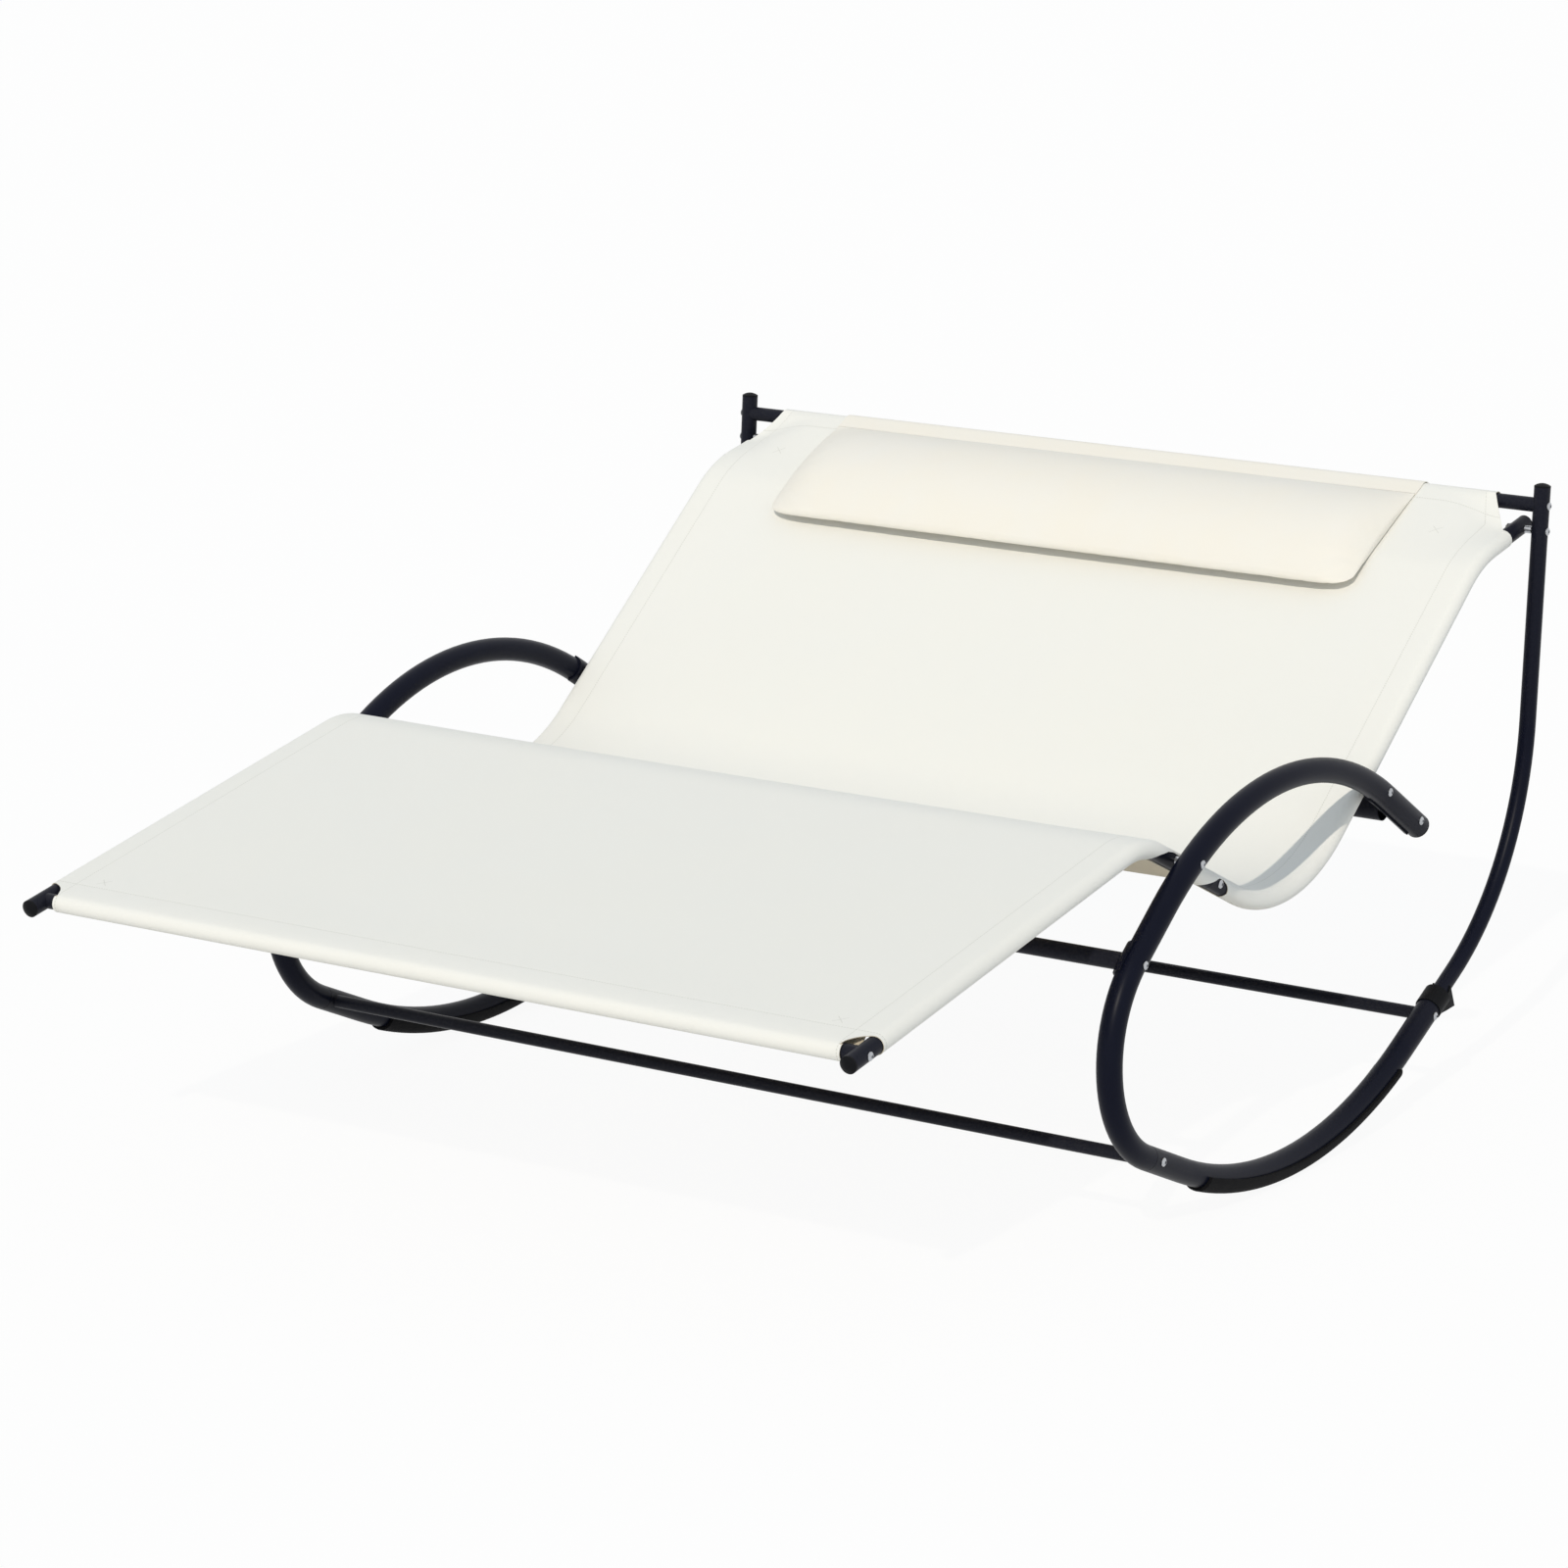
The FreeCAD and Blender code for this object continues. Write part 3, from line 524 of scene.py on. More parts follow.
def unitOf(a, b):
    d = math.hypot(b[0] - a[0], b[1] - a[1])
    return ((b[0] - a[0]) / d, (b[1] - a[1]) / d)


def routePoints(corners, radii, step, arcStep):
    # points and directions along straight runs joined by round bends
    found = []
    last = corners[0]

    def straight(a, b):
        u = unitOf(a, b)
        length = math.hypot(b[0] - a[0], b[1] - a[1])
        count = max(1, round(length / step))
        for k in range(count):
            found.append(((a[0] + u[0] * length * k / count, a[1] + u[1] * length * k / count), u))

    for before, corner, after, radius in zip(corners, corners[1:], corners[2:], radii):
        a = unitOf(corner, before)
        b = unitOf(corner, after)
        between = math.acos(a[0] * b[0] + a[1] * b[1])
        reach = radius / math.tan(between / 2)
        start = (corner[0] + a[0] * reach, corner[1] + a[1] * reach)
        middle = (a[0] + b[0], a[1] + b[1])
        size = math.hypot(*middle)
        far = radius / math.sin(between / 2)
        centre = (corner[0] + middle[0] / size * far, corner[1] + middle[1] / size * far)
        turn = 1 if a[0] * b[1] - a[1] * b[0] < 0 else -1
        straight(last, start)
        swing = math.pi - between
        count = max(2, round(swing * radius / arcStep))
        first = math.atan2(start[1] - centre[1], start[0] - centre[0])
        for k in range(count):
            angle = first + turn * swing * k / count
            c, s = math.cos(angle), math.sin(angle)
            found.append(((centre[0] + radius * c, centre[1] + radius * s), (-turn * s, turn * c)))
        last = (centre[0] + radius * math.cos(first + turn * swing),
                centre[1] + radius * math.sin(first + turn * swing))
    straight(last, corners[-1])
    found.append((corners[-1], unitOf(corners[-2], corners[-1])))
    return found


def shifted(p):
    return (p[0] + profile["shift"], p[1])


sling = {
    "thick": 0.0011,
    "rise": 0.01345,
    "hemRadius": 0.01285,
    "hemTurn": 212.0,
    "hemSteps": 16,
    "tailSteps": 3,
    "sleeveSeam": 0.034,
    "underGap": 0.0115,
    "hemSeam": 0.036,
    "seamInset": 0.004,
    "footHemX": 0.6525,
    "topHemX": 0.6415,
    "sag": 0.0025,
    "ripple": 0.0007,
    "rippleScale": (3.1, 2.3, 4.7),  # across and along the cloth, and the place in the noise
    "held": 0.14,  # distance from a bar over which the cloth comes loose from it
    "step": 0.017,
    "arcStep": 0.0075,
    "leaveFrom": 0.12,  # how far before the shoulder the cloth may leave the rail
    "topRows": (10, 5),  # rows of the last run with a sleeve and past it
    "behind": 0.8,  # how far the rail's matching point lies behind a row, as a share of its lean
    "footGap": 0.004,  # from the foot bar's top to the first row of the panel
    "across": 0.0185,
    "evenTo": 0.60,
    "nearRail": (0.612, 0.624, 0.634, 0.643, 0.658, 0.670),
    "sleeveSteps": 18,
    "underSteps": 4,
    "topBlend": 0.10,
    "topBlendPower": 1.3,
    "sleeveTop": 0.848,
    "topTaper": 0.60,
    "footTack": (0.612, 0.050),
    "topTack": (0.590, 0.102),
    "footTailX": 0.664,
    "sleeveFrom": 0.006,  # the sleeve starts this far past the foot hem's seam
    "sharpFrom": 40.0,
}


def sheetRows():
    # rows of the cloth from the foot hem to the top hem: the point at the middle, its normal, and
    # on the panel the rail's centre and normal
    rise = sling["rise"]
    corners = [shifted(profile[k]) for k in ("foot", "knee", "dip", "shoulder", "railTop")]
    radii = [profile[k] for k in ("kneeRadius", "dipRadius", "shoulderRadius")]
    rail = routePoints(corners, radii, sling["step"], sling["arcStep"])
    foot = shifted(profile["footBar"])
    top = shifted(profile["topBar"])
    # the last run leaves the shoulder's bend and touches the top of the hem
    panel = []
    lean = None
    for p, u in rail:
        n = (-u[1], u[0])
        q = (p[0] + n[0] * rise, p[1] + n[1] * rise)
        if p[0] > shifted(profile["dip"])[0]:
            slope = math.atan2(u[1], u[0])
            toBar = math.atan2(top[1] + math.cos(slope) * rise - q[1],
                               top[0] - math.sin(slope) * rise - q[0])
            if toBar >= slope and p[0] > corners[3][0] - sling["leaveFrom"]:
                lean = toBar
                break
        panel.append((q, n, p, n))
    first = panel[-1][0]
    n = (-math.sin(lean), math.cos(lean))
    last = (top[0] + n[0] * rise, top[1] + n[1] * rise)
    railFrom = len(panel) - 1
    railLine = rail[railFrom:]

    def railAt(y):
        for (p, u), (q, w) in zip(railLine, railLine[1:]):
            if p[0] <= y <= q[0]:
                t = (y - p[0]) / (q[0] - p[0])
                d = (u[0] + (w[0] - u[0]) * t, u[1] + (w[1] - u[1]) * t)
                return (y, p[1] + (q[1] - p[1]) * t), (-d[1], d[0])
        p, u = railLine[-1]
        return (y, p[1] + (y - p[0]) * u[1] / u[0]), (-u[1], u[0])

    split = (sling["sleeveTop"] - first[0]) / (last[0] - first[0])
    sleeved, bare = sling["topRows"]
    shares = [split * k / sleeved for k in range(1, sleeved + 1)]
    shares += [split + (1 - split) * k / bare for k in range(1, bare + 1)]
    for t in shares:
        q = (first[0] + (last[0] - first[0]) * t, first[1] + (last[1] - first[1]) * t)
        centre, normal = railAt(q[0] + rise * math.sin(lean) * sling["behind"])
        panel.append((q, n, centre, normal))
    panel = [row for row in panel if row[0][0] > foot[0] + rise * row[1][0] + sling["footGap"]]
    start = panel[0]
    u = (start[1][1], -start[1][0])

    def hem(centre, normal, away, sign, first):
        # round the bar from the panel's edge, then a tail back under the panel to its seam
        r, count = sling["hemRadius"], sling["hemSteps"]
        fromAngle = math.atan2(normal[1], normal[0])
        out = []
        for k in range(first, count + 1):
            a = fromAngle + sign * math.radians(sling["hemTurn"]) * k / count
            out.append(((centre[0] + r * math.cos(a), centre[1] + r * math.sin(a)),
                        (math.cos(a), math.sin(a))))
        goal = (centre[0] + away[0] * sling["hemSeam"] + normal[0] * sling["underGap"],
                centre[1] + away[1] * sling["hemSeam"] + normal[1] * sling["underGap"])
        p, m = out[-1]
        for k in range(1, sling["tailSteps"] + 1):
            t = k / sling["tailSteps"]
            out.append(((p[0] + (goal[0] - p[0]) * t, p[1] + (goal[1] - p[1]) * t), m))
        return [(q, m, None, None) for q, m in out]

    before = hem(foot, start[1], u, 1, 0)[::-1]
    endNormal = panel[-1][1]
    after = hem(top, endNormal, (-endNormal[1], endNormal[0]), -1, 1)
    return before, panel, after


def smooth(t):
    t = min(max(t, 0.0), 1.0)
    return t * t * (3 - 2 * t)


def buildSling():
    before, panel, after = sheetRows()
    rows = [(row, kind) for run, kind in ((before, "foot"), (panel, "panel"), (after, "top"))
            for row in run]
    railX = profile["railX"]
    r = sling["rise"]
    ex, en = -sling["sleeveSeam"], sling["underGap"]
    d = math.hypot(ex, en)
    tangent = math.atan2(en, ex) + math.acos(r / d)
    turn = math.pi / 2 - (tangent - 2 * math.pi)
    tail = math.sqrt(d * d - r * r)
    # columns of the right half, as distance on the flat cloth and its place in the section
    half = [0.0]
    while half[-1] + sling["across"] < sling["evenTo"]:
        half.append(half[-1] + sling["across"])
    # closer together by the rail, with one column on the edge of the foot hem and of its tail
    half += sorted([*sling["nearRail"], sling["footHemX"], sling["footTailX"], railX])
    count = sling["sleeveSteps"]
    bend = [railX + r * turn * k / count for k in range(1, count + 1)]
    count = sling["underSteps"]
    under = [railX + r * turn + tail * k / count for k in range(1, count + 1)]
    flatRight = half + bend + under
    columns = [-c for c in flatRight[::-1]] + flatRight[1:]
    edge = railX + r * turn
    total = flatRight[-1]

    lengths = [0.0]
    for (a, _), (b, _) in zip(rows, rows[1:]):
        lengths.append(lengths[-1] + math.hypot(b[0][0] - a[0][0], b[0][1] - a[0][1]))
    lastRow = len(before) + len(panel) - 1
    footLine, topLength = lengths[len(before)], lengths[lastRow]
    inset = sling["seamInset"]
    seams = {"side": railX - sling["sleeveSeam"] + inset,
             "foot": footLine + sling["hemSeam"] - inset,
             "top": topLength - sling["hemSeam"] + inset,
             "tacks": [(sling["footTack"][0], footLine + sling["footTack"][1]),
                       (sling["topTack"][0], topLength - sling["topTack"][1])]}

    verts = []
    uvs = []
    topLine = panel[-1][0][0]

    def narrowing(y):
        # past the sleeve the cloth narrows to the width of the top hem: the share, and its edge
        past = (y - sling["sleeveTop"]) / (topLine - sling["sleeveTop"])
        past = min(max(past, 0.0), 1.0)
        return past, railX + (sling["topHemX"] - railX) * past

    def looseness(along):
        # the cloth sags between the rails, and not where a bar holds it
        return smooth(min(along - footLine, topLength - along) / sling["held"])

    def railShare(x, past, reach):
        blend = sling["topBlend"]
        return smooth((x - (reach - blend)) / blend) ** sling["topBlendPower"] * (1 - past)

    def pulled(k, x):
        # how far row k of the panel is drawn from its flat run at x, by the rails and by its sag
        (q, n, centre, normal), along = rows[k][0], lengths[k]
        past, reach = narrowing(q[0])
        w = railShare(x, past, reach)
        m = -sling["sag"] * (1 - (x / railX) ** 2) * looseness(along) * (1 - w)
        return [(centre[a] + normal[a] * r - q[a]) * w + n[a] * m for a in (0, 1)]

    def pulledUnder(q, x):
        # the same for a hem's tail, which lies under the panel
        for k in range(lastRow, len(before), -1):
            low, high = rows[k - 1][0][0], rows[k][0][0]
            if low[0] <= q[0] <= high[0]:
                t = (q[0] - low[0]) / (high[0] - low[0])
                a, b = pulled(k - 1, x), pulled(k, x)
                return [a[0] + (b[0] - a[0]) * t, a[1] + (b[1] - a[1]) * t]
        return [0.0, 0.0]

    taper = sling["topTaper"]
    waveX, waveY, waveZ = sling["rippleScale"]
    for at, ((row, kind), along) in enumerate(zip(rows, lengths)):
        q, n, centre, normal = row
        past, reach = narrowing(q[0] if kind == "panel" else topLine)
        loose = looseness(along)
        for flat in columns:
            x = abs(flat)
            side = 1 if flat >= 0 else -1
            if kind != "foot" and past > 0 and taper < x <= railX:
                x = taper + (x - taper) * (reach - taper) / (railX - taper)
            c = side * x
            if kind == "top" and at > len(rows) - 1 - sling["tailSteps"]:
                pull = pulledUnder(q, x)
                verts.append((c, q[0] + pull[0], q[1] + pull[1]))
            elif kind != "panel":
                verts.append((c, q[0], q[1]))
            elif x <= railX:
                drop = sling["sag"] * (1 - (x / railX) ** 2) * loose
                wave = noise.noise(Vector((c * waveX, along * waveY, waveZ)))
                swell = sling["ripple"] * wave * (1 - (x / railX) ** 4) * loose
                rail = (centre[0] + normal[0] * r, centre[1] + normal[1] * r)
                w = railShare(x, past, reach)
                base = (q[0] + (rail[0] - q[0]) * w, q[1] + (rail[1] - q[1]) * w)
                m = swell - drop * (1 - w)
                verts.append((c, base[0] + n[0] * m, base[1] + n[1] * m))
            else:
                if x <= edge:
                    a = math.pi / 2 - (x - railX) / r
                    ox, on = r * math.cos(a), r * math.sin(a)
                else:
                    t = (x - edge) / tail
                    ox = r * math.cos(tangent) * (1 - t) + ex * t
                    on = r * math.sin(tangent) * (1 - t) + en * t
                verts.append((side * (railX + ox),
                              centre[0] + normal[0] * on, centre[1] + normal[1] * on))
            uvs.append((flat, along))
    width = len(columns)
    faces = []
    cutArea = 0.0  # area of the cloth as it is cut, on the flat
    sleeveStart = shifted(profile["footBar"])[0] + sling["hemSeam"] + sling["sleeveFrom"]
    for i in range(len(rows) - 1):
        kinds = (rows[i][1], rows[i + 1][1])
        for j in range(width - 1):
            x = max(abs(columns[j]), abs(columns[j + 1]))
            footEdge = sling["footHemX"] if i > sling["tailSteps"] else sling["footTailX"]
            if "foot" in kinds and x > footEdge + 1e-6:
                continue
            y = rows[i][0][0][0]
            if x > edge + 1e-6 and y < sleeveStart:
                continue
            if x > railX + 1e-6 and ("top" in kinds or y > sling["sleeveTop"] - 1e-4):
                continue
            a = i * width + j
            faces.append((a, a + 1, a + width + 1, a + width))
            cutArea += (columns[j + 1] - columns[j]) * (lengths[i + 1] - lengths[i])
    o = clothMesh("slingCloth", verts, faces, uvs)
    area = sum(p.area for p in o.data.polygons)
    print("sling sheet", len(faces), "faces, flat", round(2 * total, 4), round(lengths[-1], 4),
          "area cut", round(cutArea, 4), "formed", round(area, 4))
    return o, (2 * total, lengths[-1]), cutArea, seams


def ringCutter(name, low, high, material):
    # a straight cutter between two rings of points
    mesh = bpy.data.meshes.new(name)
    b = bmesh.new()
    rings = [[b.verts.new(p) for p in ring] for ring in (low, high)]
    b.faces.new(rings[0])
    b.faces.new(rings[1][::-1])
    for k in range(len(low)):
        m = (k + 1) % len(low)
        b.faces.new((rings[0][k], rings[0][m], rings[1][m], rings[1][k]))
    bmesh.ops.recalc_face_normals(b, faces=b.faces)
    b.to_mesh(mesh)
    b.free()
    mesh.materials.append(material)
    return addObject(name, mesh)


def cutWith(o, cutter):
    useOnly(o)
    m = o.modifiers.new("cut", "BOOLEAN")
    m.operation = "DIFFERENCE"
    m.solver = "EXACT"
    m.object = cutter
    m.material_mode = "TRANSFER"
    bpy.ops.object.modifier_apply(modifier=m.name)
    bpy.data.objects.remove(cutter)


slots = {
    "armBolt": (-0.1239, 0.5191),
    "jointBolt": (-0.0006, 0.4590),
    "runAngle": -26.0,
    "insideX": 0.677,
    "outsideX": 0.70,
    # outlines of the openings, along the run and off it
    "armShape": [(-0.066, -0.0165), (-0.046, -0.0035), (-0.027, 0.0055), (-0.008, 0.0088),
                 (0.009, 0.0075), (0.018, 0.002), (0.022, -0.006), (0.022, -0.0165)],
    "jointShape": [(-0.049, -0.0165), (-0.023, -0.0025), (-0.011, 0.0045), (-0.005, 0.0068),
                   (0.008, 0.0068), (0.016, 0.0035), (0.021, -0.001), (0.0252, -0.0075),
                   (0.0235, -0.0165)],
}

# the round notch at each foot corner: its inner part takes the top layer, its outer part all
notch = {
    "middle": (0.6922, -0.0137),
    "radius": 0.044,
    "split": 0.6655,
    "above": 0.0121,
    "below": -0.10,
    "top": 0.05,
    "steps": 40,
}


def cutSling(o):
    foot = shifted(profile["footBar"])
    run = unitOf(profile["foot"], profile["knee"])
    rise = (-run[1], run[0])

    def place(side, x, s, h):
        return (side * x, foot[0] + run[0] * s + rise[0] * h, foot[1] + run[1] * s + rise[1] * h)

    def onNotch(a):
        return (notch["middle"][0] + notch["radius"] * math.cos(a),
                notch["middle"][1] + notch["radius"] * math.sin(a))

    half = math.acos((notch["middle"][0] - notch["split"]) / notch["radius"])
    steps = range(notch["steps"] + 1)
    inner = [onNotch(math.pi - half + 2 * half * k / notch["steps"]) for k in steps]
    outer = [onNotch((math.pi - half) * (2 * k / notch["steps"] - 1)) for k in steps]
    angle = math.radians(slots["runAngle"])
    u = (math.cos(angle), math.sin(angle))
    for side in (1, -1):
        for ring, low in ((inner, notch["above"]), (outer, notch["below"])):
            cutWith(o, ringCutter("notch", [place(side, x, s, low) for x, s in ring],
                                  [place(side, x, s, notch["top"]) for x, s in ring], rawEdge))
        for bolt, shape in (("armBolt", "armShape"), ("jointBolt", "jointShape")):
            p = slots[bolt]
            outline = [(p[0] + a * u[0] - h * u[1], p[1] + a * u[1] + h * u[0])
                       for a, h in slots[shape]]
            cutWith(o, ringCutter("slot", [(side * slots["insideX"], *q) for q in outline],
                                  [(side * slots["outsideX"], *q) for q in outline], rawEdge))


clothObject, flatSize, flatArea, seams = buildSling()
slingCloth = makeSlingCloth("slingTextile", slingLook, seams)
# the back face gets the tan of painted shade
slingBackShade = makeSlingCloth("slingTextileBackShade", slingBackShadeLook, seams)
for finish in (slingCloth, rawEdge, slingBackShade):
    clothObject.data.materials.append(finish)
useOnly(clothObject)
solid = clothObject.modifiers.new("thickness", "SOLIDIFY")
solid.thickness = sling["thick"]
solid.offset = 0.0
solid.use_even_offset = True
solid.material_offset_rim = 1
solid.material_offset = 2
applyAll(clothObject)
cutSling(clothObject)
smoothShade(clothObject, sling["sharpFrom"])
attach(clothObject, "frame")
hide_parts("sling")
print("sling done", len(clothObject.data.polygons))


def panelPlace():
    # the seat's straight run to the top bar: its last point, its direction and its normal
    q, n = sheetRows()[1][-1][:2]
    return q, (n[1], -n[0]), n


cushion = {
    "halfWidth": 0.5195,
    "columns": 190,
    "rows": 44,
    "closer": 0.86,  # how much closer together the columns stand at the ends, up to 1
    "searchStep": 0.0005,
    "search": (40, 560),  # where down the seat the CAD cushion is looked for, in those steps
    "searchAbove": 0.2,
    "searchBelow": -0.05,
    "topEdge": 0.0268,
    "thinnest": 0.0014,
    "frames": 20,
    "cap": 0.006,
    "clear": 0.0009,
}
# how the filling swells the cover, as settings of the cloth
cushionCover = {
    "quality": 6,
    "mass": 0.25,
    "tension_stiffness": 12,
    "compression_stiffness": 12,
    "shear_stiffness": 5,
    "bending_stiffness": 4.0,
    "use_pressure": True,
    "uniform_pressure_force": 2.6,
    "vertex_group_mass": "seam",
}
puckers = {
    "depth": 0.0022,
    "side": (0.40, 0.12),  # distance from the middle where they start, and over which they grow
    "edge": (0.17, 0.08),  # the same down the seat
    "least": 0.35,
    "fan": (0.55, 0.19),  # point that they fan out from
    "scale": (9.0, 4.0, 2.7),
    "fade": 0.02,
}


def buildCushion():
    source = frame["nodes"]["pillow"]
    tree = BVHTree.FromObject(source, bpy.context.evaluated_depsgraph_get())
    top, run, rise = panelPlace()
    up = Vector((0.0, *rise))

    def place(x, down, high):
        return Vector((x, top[0] - down * run[0] + high * rise[0],
                       top[1] - down * run[1] + high * rise[1]))

    def heights(x, down):
        # where a line across the seat enters and leaves the CAD cushion
        above = tree.ray_cast(place(x, down, cushion["searchAbove"]), -up)[0]
        below = tree.ray_cast(place(x, down, cushion["searchBelow"]), up)[0]
        if above is None or below is None:
            return None
        base = place(x, down, 0.0)
        return (below - base).dot(up), (above - base).dot(up)

    nx, nt = cushion["columns"], cushion["rows"]
    closer, gap = cushion["closer"], cushion["searchStep"]
    lowest = sling["thick"] / 2 + cushion["clear"]
    upper, lower = [], []
    for j in range(nx + 1):
        x = cushion["halfWidth"] * math.sin((j / nx - 0.5) * math.pi * closer)
        x /= math.sin(closer / 2 * math.pi)
        found = [k * gap for k in range(*cushion["search"]) if heights(x, k * gap)]
        first, last = found[0], found[-1]
        for i in range(nt + 1):
            # rows stand closer together at both ends
            t = 0.5 * i / nt + 0.5 * (0.5 - 0.5 * math.cos(math.pi * i / nt))
            low, high = heights(x, first + (last - first) * t)
            low = max(low, lowest)
            high = max(high, low + cushion["thinnest"])
            # the upper edge runs straight along its seam, and only the lower corners are round
            down = cushion["topEdge"] + (last - cushion["topEdge"]) * t
            upper.append(place(x, down, high))
            lower.append(place(x, down, low))
    count = len(upper)
    rim = []
    faces = []
    step = nt + 1
    for j in range(nx):
        for i in range(nt):
            a = j * step + i
            faces.append((a, a + 1, a + step + 1, a + step))
            faces.append((count + a, count + a + step, count + a + step + 1, count + a + 1))
    loop = [j * step for j in range(nx + 1)] + [nx * step + i for i in range(1, nt + 1)]
    loop += [j * step + nt for j in range(nx - 1, -1, -1)] + list(range(nt - 1, 0, -1))
    for a, b in zip(loop, loop[1:] + loop[:1]):
        faces.append((a, b, count + b, count + a))
        rim += [a, count + a]
    mesh = bpy.data.meshes.new("cushionBody")
    mesh.from_pydata(upper + lower, [], faces)
    b = bmesh.new()
    b.from_mesh(mesh)
    bmesh.ops.recalc_face_normals(b, faces=b.faces)
    b.to_mesh(mesh)
    b.free()
    o = addObject("cushionBody", mesh)
    o.vertex_groups.new(name="seam").add(rim, 1.0, "REPLACE")
    start = [v.co.copy() for v in mesh.vertices]
    useOnly(o)
    m = o.modifiers.new("cloth", "CLOTH")
    for key, value in cushionCover.items():
        setattr(m.settings, key, value)
    m.settings.effector_weights.gravity = 0.0
    m.point_cache.frame_start = 1
    m.point_cache.frame_end = cushion["frames"]
    scene = bpy.context.scene
    for k in range(1, cushion["frames"] + 1):
        scene.frame_set(k)
    shape = o.evaluated_get(bpy.context.evaluated_depsgraph_get()).to_mesh()
    moved = [v.co.copy() for v in shape.vertices]
    o.modifiers.remove(m)
    scene.frame_set(1)
    for v, a, c in zip(mesh.vertices, start, moved):
        move = c - a
        if move.length > cushion["cap"]:
            move *= cushion["cap"] / move.length
        v.co = a + move
    waveX, waveY, waveZ = puckers["scale"]
    for k, v in enumerate(mesh.vertices):
        flat = v.co - Vector((0.0, *top))
        down, high = -(flat.y * run[0] + flat.z * run[1]), flat.dot(up)
        if k < count:
            # short puckers fan out from the lower corners and from the sides
            side = smooth((abs(v.co.x) - puckers["side"][0]) / puckers["side"][1])
            edge = smooth((down - puckers["edge"][0]) / puckers["edge"][1])
            fan = math.atan2(down - puckers["fan"][1], puckers["fan"][0] - abs(v.co.x))
            wave = noise.noise(Vector((fan * waveX, v.co.x * waveY, waveZ)))
            grown = side * (puckers["least"] + edge) * smooth(high / puckers["fade"])
            v.co += up * (puckers["depth"] * wave * grown)
        if high < lowest:
            v.co += up * (lowest - high)
    m = o.modifiers.new("smooth", "SUBSURF")
    m.levels = 1
    m.render_levels = 1
    applyAll(o)
    for p in o.data.polygons:
        p.use_smooth = True
    o.data.materials.append(cushionCloth)
    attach(o, "cushion")
    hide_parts("pillow")
    print("cushion done", len(o.data.polygons))


flap = {
    "halfWidth": 0.520,
    "start": 0.0263,
    "radius": 0.0153,
    "drop": 0.088,
    "thick": 0.0012,
    "rows": (5, 12, 10),  # steps on the seat, round the bar and down behind it
    "columns": 86,
    "wave": 0.0016,
    "waveScale": (7.0, 0.3, 1.9),  # across the cloth, and the place in the noise
    "waveVary": 1.6,
    "looseFrom": 0.075,  # distance down the cloth where it starts to wave, and over which
    "looseOver": 0.07,
    "sharpFrom": 40.0,
}


def buildFlap():
    top, run, rise = panelPlace()
    centre = shifted(profile["topBar"])
    r = flap["radius"]
    angle = math.atan2(rise[1], rise[0])
    before, around, behind = flap["rows"]
    line = []
    for k in range(before + 1):
        d = flap["start"] * (1 - k / before)
        line.append((centre[0] + rise[0] * r - run[0] * d,
                     centre[1] + rise[1] * r - run[1] * d, *rise))
    for k in range(1, around + 1):
        a = angle * (1 - k / around)
        c, s = math.cos(a), math.sin(a)
        line.append((centre[0] + r * c, centre[1] + r * s, c, s))
    for k in range(1, behind + 1):
        line.append((centre[0] + r, centre[1] - flap["drop"] * k / behind, 1.0, 0.0))
    lengths = [0.0]
    for a, b in zip(line, line[1:]):
        lengths.append(lengths[-1] + math.hypot(b[0] - a[0], b[1] - a[1]))
    count = flap["columns"]
    waveX, waveY, waveZ = flap["waveScale"]
    verts, uvs, faces = [], [], []
    for (y, z, ny, nz), d in zip(line, lengths):
        loose = smooth((d - flap["looseFrom"]) / flap["looseOver"])
        for j in range(count + 1):
            x = flap["halfWidth"] * (2 * j / count - 1)
            vary = noise.noise(Vector((x * waveX, waveY, waveZ))) * flap["waveVary"]
            wave = flap["wave"] * loose * (1 + vary)
            verts.append((x, y + ny * wave, z + nz * wave))
            uvs.append((x, d))
    for i in range(len(line) - 1):
        for j in range(count):
            a = i * (count + 1) + j
            faces.append((a, a + 1, a + count + 2, a + count + 1))
    o = clothMesh("cushionFlap", verts, faces, uvs)
    m = o.modifiers.new("thickness", "SOLIDIFY")
    m.thickness = flap["thick"]
    m.offset = 0.0
    applyAll(o)
    smoothShade(o, flap["sharpFrom"])
    o.data.materials.append(cushionCloth)
    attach(o, "cushion_flap")
    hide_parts("pillow_flap")


buildCushion()
buildFlap()


studio = {
    "camera": (4.4025, -6.5634, 2.4206),
    "back": (0.54456, -0.80251, 0.24378),
    "turn": 34.16,
    "lens": 129.35,
    "sensor": 36.0,
    "shift": (0.0054, 0.0313),
    "farthest": 100.0,
    "sky": 0.60,
    "skyColour": (0.90, 1.0, 1.11),
    "sun": 1.76,
    "sunColour": (1.0, 0.925, 0.82),
    "sunFrom": (0.2457, -0.743, 0.6225),
    "sunDistance": 6.0,
    "sunWidth": 0.9,  # degrees across
    "floor": (0.86, 0.85, 0.83),
    "floorRoughness": 0.9,
    "floorShine": 0.1,
    "floorShow": 0.93,
    "floorSize": 40.0,
}


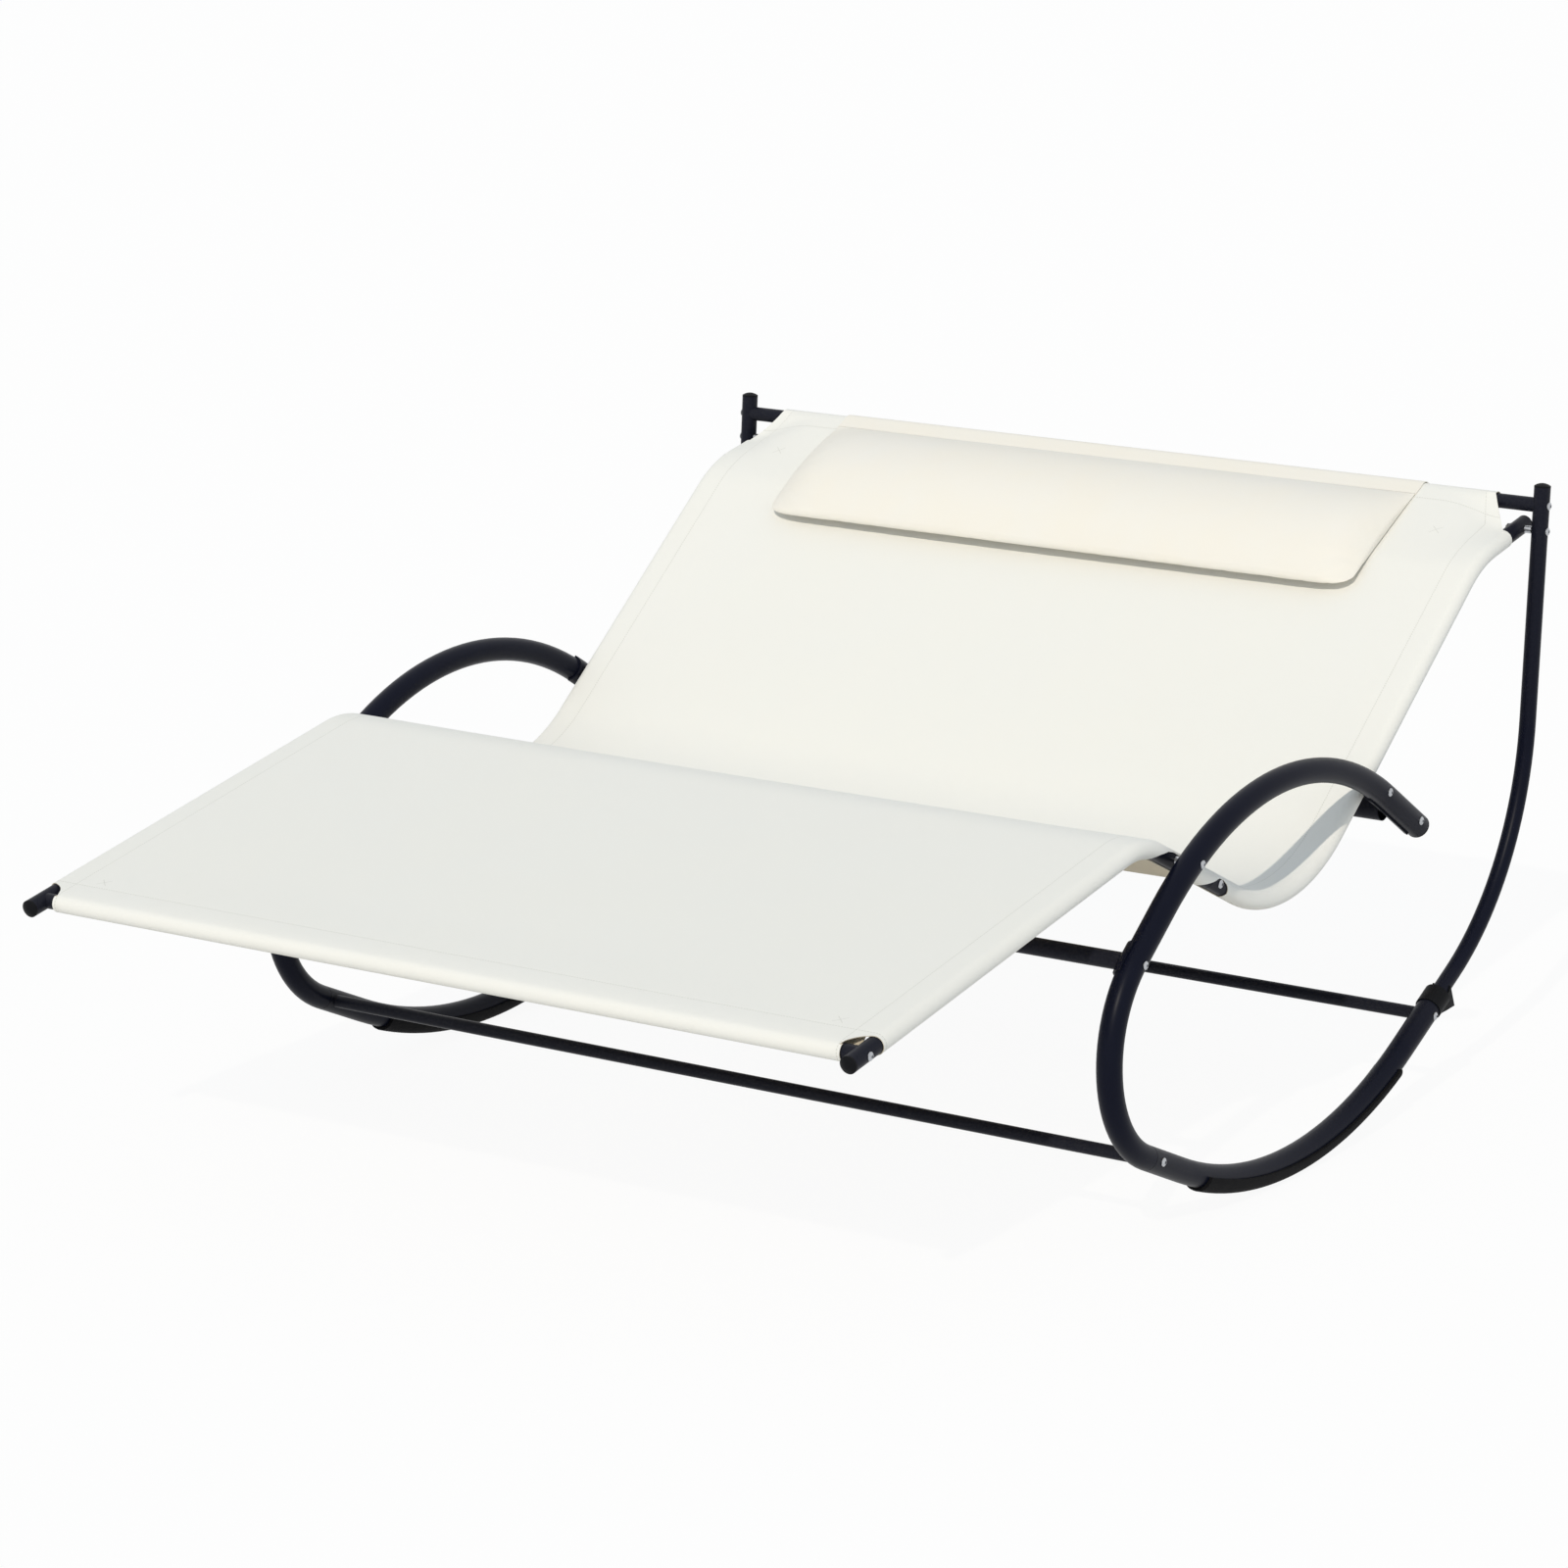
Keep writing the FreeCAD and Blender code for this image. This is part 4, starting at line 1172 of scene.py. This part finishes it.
def buildCamera():
    data = bpy.data.cameras.new("camera")
    data.lens = studio["lens"]
    data.sensor_width = studio["sensor"]
    data.shift_x, data.shift_y = studio["shift"]
    data.clip_end = studio["farthest"]
    o = addObject("camera", data)
    back = Vector(studio["back"]).normalized()
    a = math.radians(studio["turn"])
    right = Vector((math.cos(a), math.sin(a), 0.0))
    turned = Matrix((right, back.cross(right), back)).transposed().to_4x4()
    o.matrix_world = Matrix.Translation(Vector(studio["camera"])) @ turned
    bpy.context.scene.camera = o


def buildSun():
    data = bpy.data.lights.new("sun", "SUN")
    data.energy = studio["sun"]
    data.color = studio["sunColour"]
    data.angle = math.radians(studio["sunWidth"])
    o = addObject("sun", data)
    direction = Vector(studio["sunFrom"])
    o.location = direction * studio["sunDistance"]
    o.rotation_euler = direction.to_track_quat("Z", "Y").to_euler()


def buildStudio():
    scene = bpy.context.scene
    world = bpy.data.worlds.new("studio")
    scene.world = world
    world.use_nodes = True
    tree = world.node_tree
    sky = tree.nodes["Background"]
    sky.inputs["Color"].default_value = (*studio["skyColour"], 1.0)
    sky.inputs["Strength"].default_value = studio["sky"]
    white = tree.nodes.new("ShaderNodeBackground")
    white.inputs["Color"].default_value = (1.0, 1.0, 1.0, 1.0)
    white.inputs["Strength"].default_value = 1.0
    mix = tree.nodes.new("ShaderNodeMixShader")
    tree.links.new(seenDirectly(tree).socket, mix.inputs[0])
    tree.links.new(sky.outputs[0], mix.inputs[1])
    tree.links.new(white.outputs[0], mix.inputs[2])
    tree.links.new(mix.outputs[0], tree.nodes["World Output"].inputs["Surface"])
    bpy.ops.mesh.primitive_plane_add(size=studio["floorSize"], location=(0, 0, 0))
    floor = bpy.context.active_object
    floor.name = "studioFloor"
    f = Finish("studioFloor")
    f.set(Base_Color=studio["floor"], Roughness=studio["floorRoughness"],
          Specular_IOR_Level=studio["floorShine"])
    f.whiten(studio["floorShow"])
    floor.data.materials.append(f.material)
    buildSun()
    scene.view_settings.view_transform = "Standard"


buildCamera()
buildStudio()
print("scene finished")
